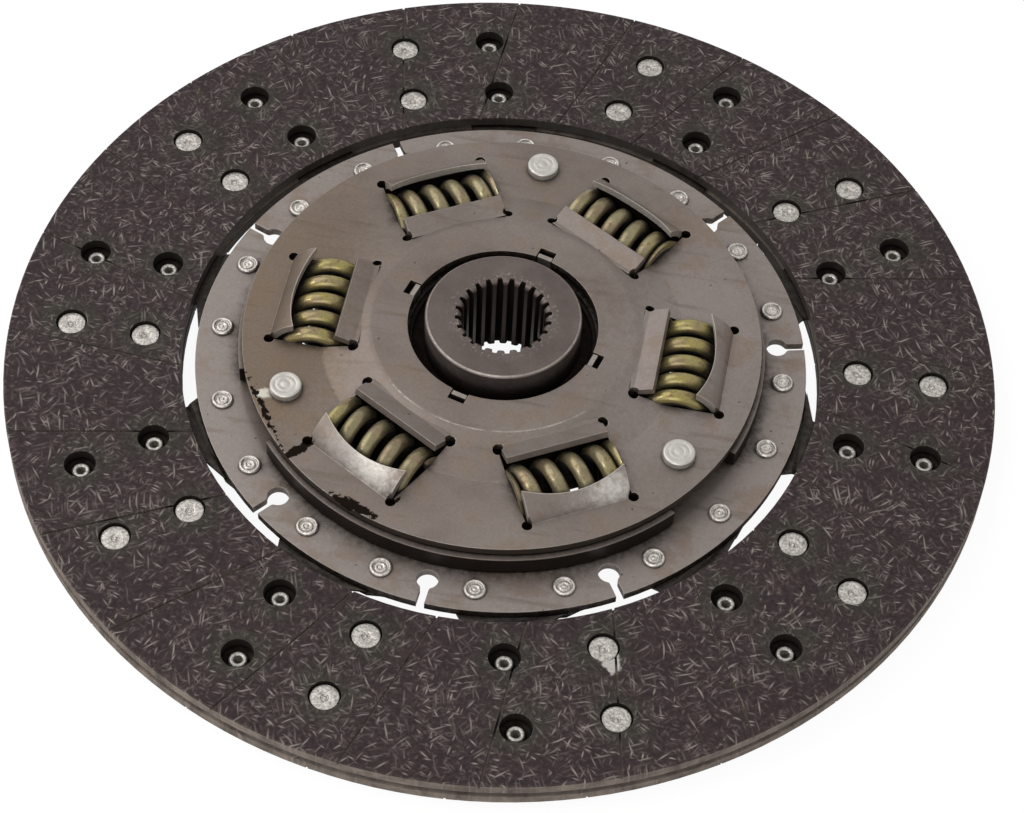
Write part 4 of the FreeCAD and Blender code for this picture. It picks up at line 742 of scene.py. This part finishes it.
# Each spring as it was fitted: its turns, and the part of a turn from its first end to its top
SPRINGS_AS_FITTED = ((5.6, 0.88), (5.6, 0.47), (5.5, 0.43), (5.6, 0.79), (5.35, 0.94), (5.15, 0.05))


def wind_spring(turns, lead_in):
    """One spring along Z round the origin, with flat ends."""
    wire = bmesh.new()
    first = HALF_LENGTH + TIP
    start = (Matrix.Rotation(math.radians(90 - 360 * lead_in), 4, "Z")
             @ Matrix.Translation((COIL_RADIUS * MM, 0, -first * MM))
             @ Matrix.Rotation(math.radians(90 + 6.5), 4, "X"))
    bmesh.ops.create_circle(wire, cap_ends=False, segments=24, radius=WIRE_RADIUS * MM, matrix=start)
    last = wire.verts[:] + wire.edges[:]
    bmesh.ops.edgeloop_fill(wire, edges=wire.edges[:])
    closed_rise = CLOSED_TURNS * CLOSED_PITCH
    for part_turns, rise in ((CLOSED_TURNS, closed_rise),
                             (turns - 2 * CLOSED_TURNS, 2 * (first - closed_rise)),
                             (CLOSED_TURNS, closed_rise)):
        steps = round(part_turns * 48)
        spun = bmesh.ops.spin(wire, geom=last, cent=(0, 0, 0), axis=(0, 0, 1),
                              dvec=(0, 0, rise * MM / steps), angle=part_turns * 2 * math.pi,
                              steps=steps)
        last = [part for part in spun["geom_last"] if not isinstance(part, bmesh.types.BMFace)]
    bmesh.ops.edgeloop_fill(wire, edges=[e for e in last if isinstance(e, bmesh.types.BMEdge)])
    for side in (-1, 1):
        cut = bmesh.ops.bisect_plane(
            wire, geom=wire.verts[:] + wire.edges[:] + wire.faces[:], dist=0.0001 * MM,
            plane_co=(0, 0, side * HALF_LENGTH * MM), plane_no=(0, 0, side), clear_outer=True)
        rim = [part for part in cut["geom_cut"] if isinstance(part, bmesh.types.BMEdge)]
        bmesh.ops.edgeloop_fill(wire, edges=rim)
    bmesh.ops.remove_doubles(wire, verts=wire.verts, dist=0.001 * MM)
    bmesh.ops.recalc_face_normals(wire, faces=wire.faces)
    return wire


for number, (turns, lead_in) in enumerate(SPRINGS_AS_FITTED):
    spring = wind_spring(turns, lead_in)
    seat = (Matrix.Rotation(math.radians(60 * number), 4, "Z")
            @ Matrix.Translation((SPRING_CIRCLE * MM, 0, DAMPER_MIDDLE * MM))
            @ Matrix.Rotation(math.radians(90), 4, "X"))
    bmesh.ops.transform(spring, matrix=seat, verts=spring.verts)
    open_edges = sum(1 for line in spring.edges if len(line.link_faces) != 2)
    coil = piece_from(f"damper_spring_{number + 1}", spring, spring_wire)
    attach(coil, "disc")
    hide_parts(f"torsion_spring_{number + 1}")
    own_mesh(coil)
    print(coil.name, "triangles", sum(len(face.vertices) - 2 for face in coil.data.polygons),
          "open edges", open_edges)

# %% [markdown]
# ## Floor, world and light
#
# The disc lies on a white table under soft light. The floor looks white to the camera and in
# reflections, but lights the disc from below only a little, and it keeps a faint share of real
# shading so that the disc's shadow shows. One broad lamp stands on the camera's side, so slopes
# that face the viewer are bright, and one above fills the rest.

# %% Floor


def seen_directly(tree):
    """1 for rays from the eye, from a mirror or through glass, 0 for soft light."""
    path = add(tree, "LightPath", {}, {})
    one = add(tree, "Math", {"operation": "MAXIMUM"}, {
        0: path.outputs["Is Camera Ray"], 1: path.outputs["Is Glossy Ray"]})
    return add(tree, "Math", {"operation": "MAXIMUM"}, {
        0: one.outputs[0], 1: path.outputs["Is Transmission Ray"]}).outputs[0]


table_top, tree, mm = new_material("white table")
plain = add(tree, "BsdfDiffuse", {}, {"Color": linear("c8c8c6")})
glow = add(tree, "Emission", {}, {"Color": (1.0, 1.0, 1.0, 1.0), "Strength": 0.93})
shade = add(tree, "BsdfDiffuse", {}, {"Color": linear("5c5c5c")})
white = add(tree, "AddShader", {}, {0: glow.outputs[0], 1: shade.outputs[0]})
mixed = add(tree, "MixShader", {}, {
    0: seen_directly(tree), 1: plain.outputs[0], 2: white.outputs[0]})
finish(tree, mixed.outputs[0])

slab = bmesh.new()
bmesh.ops.create_grid(slab, x_segments=1, y_segments=1, size=3.0,
                      matrix=Matrix.Translation((0, 0, -0.1 * MM)))
floor_mesh = bpy.data.meshes.new("floor")
slab.to_mesh(floor_mesh)
slab.free()
floor_mesh.materials.append(table_top)
floor = bpy.data.objects.new("floor", floor_mesh)
scene.collection.objects.link(floor)

# %% World and lamps
world = bpy.data.worlds.new("studio")
world.use_nodes = True
scene.world = world
tree = world.node_tree
tree.nodes.clear()
soft = add(tree, "Background", {}, {"Color": (1.0, 1.0, 1.0, 1.0), "Strength": 0.5})
backdrop = add(tree, "Background", {}, {"Color": (1.0, 1.0, 1.0, 1.0), "Strength": 1.0})
mixed = add(tree, "MixShader", {}, {
    0: seen_directly(tree), 1: soft.outputs[0], 2: backdrop.outputs[0]})
add(tree, "OutputWorld", {}, {"Surface": mixed.outputs[0]})


def lamp(name, azimuth, elevation, distance, width, power):
    """A square soft lamp that looks at the disc; azimuth 0 is the camera's side."""
    light = bpy.data.lights.new(name, "AREA")
    light.shape = "SQUARE"
    light.size = width
    light.energy = power
    made = bpy.data.objects.new(name, light)
    side, lift = math.radians(azimuth), math.radians(elevation)
    spot = turn @ Vector((math.sin(side) * math.cos(lift), -math.cos(side) * math.cos(lift),
                          math.sin(lift))) * distance
    made.matrix_world = Matrix.Translation(spot) @ spot.to_track_quat("Z", "Y").to_matrix().to_4x4()
    scene.collection.objects.link(made)
    return made


lamp("left lamp", -115, 45, 2.2, 2.2, 22.0)
lamp("front lamp", -15, 30, 1.7, 1.1, 8.0)
lamp("window", -74, 40, 2.2, 0.25, 6.0)

# %% View
scene.view_settings.view_transform = "Standard"
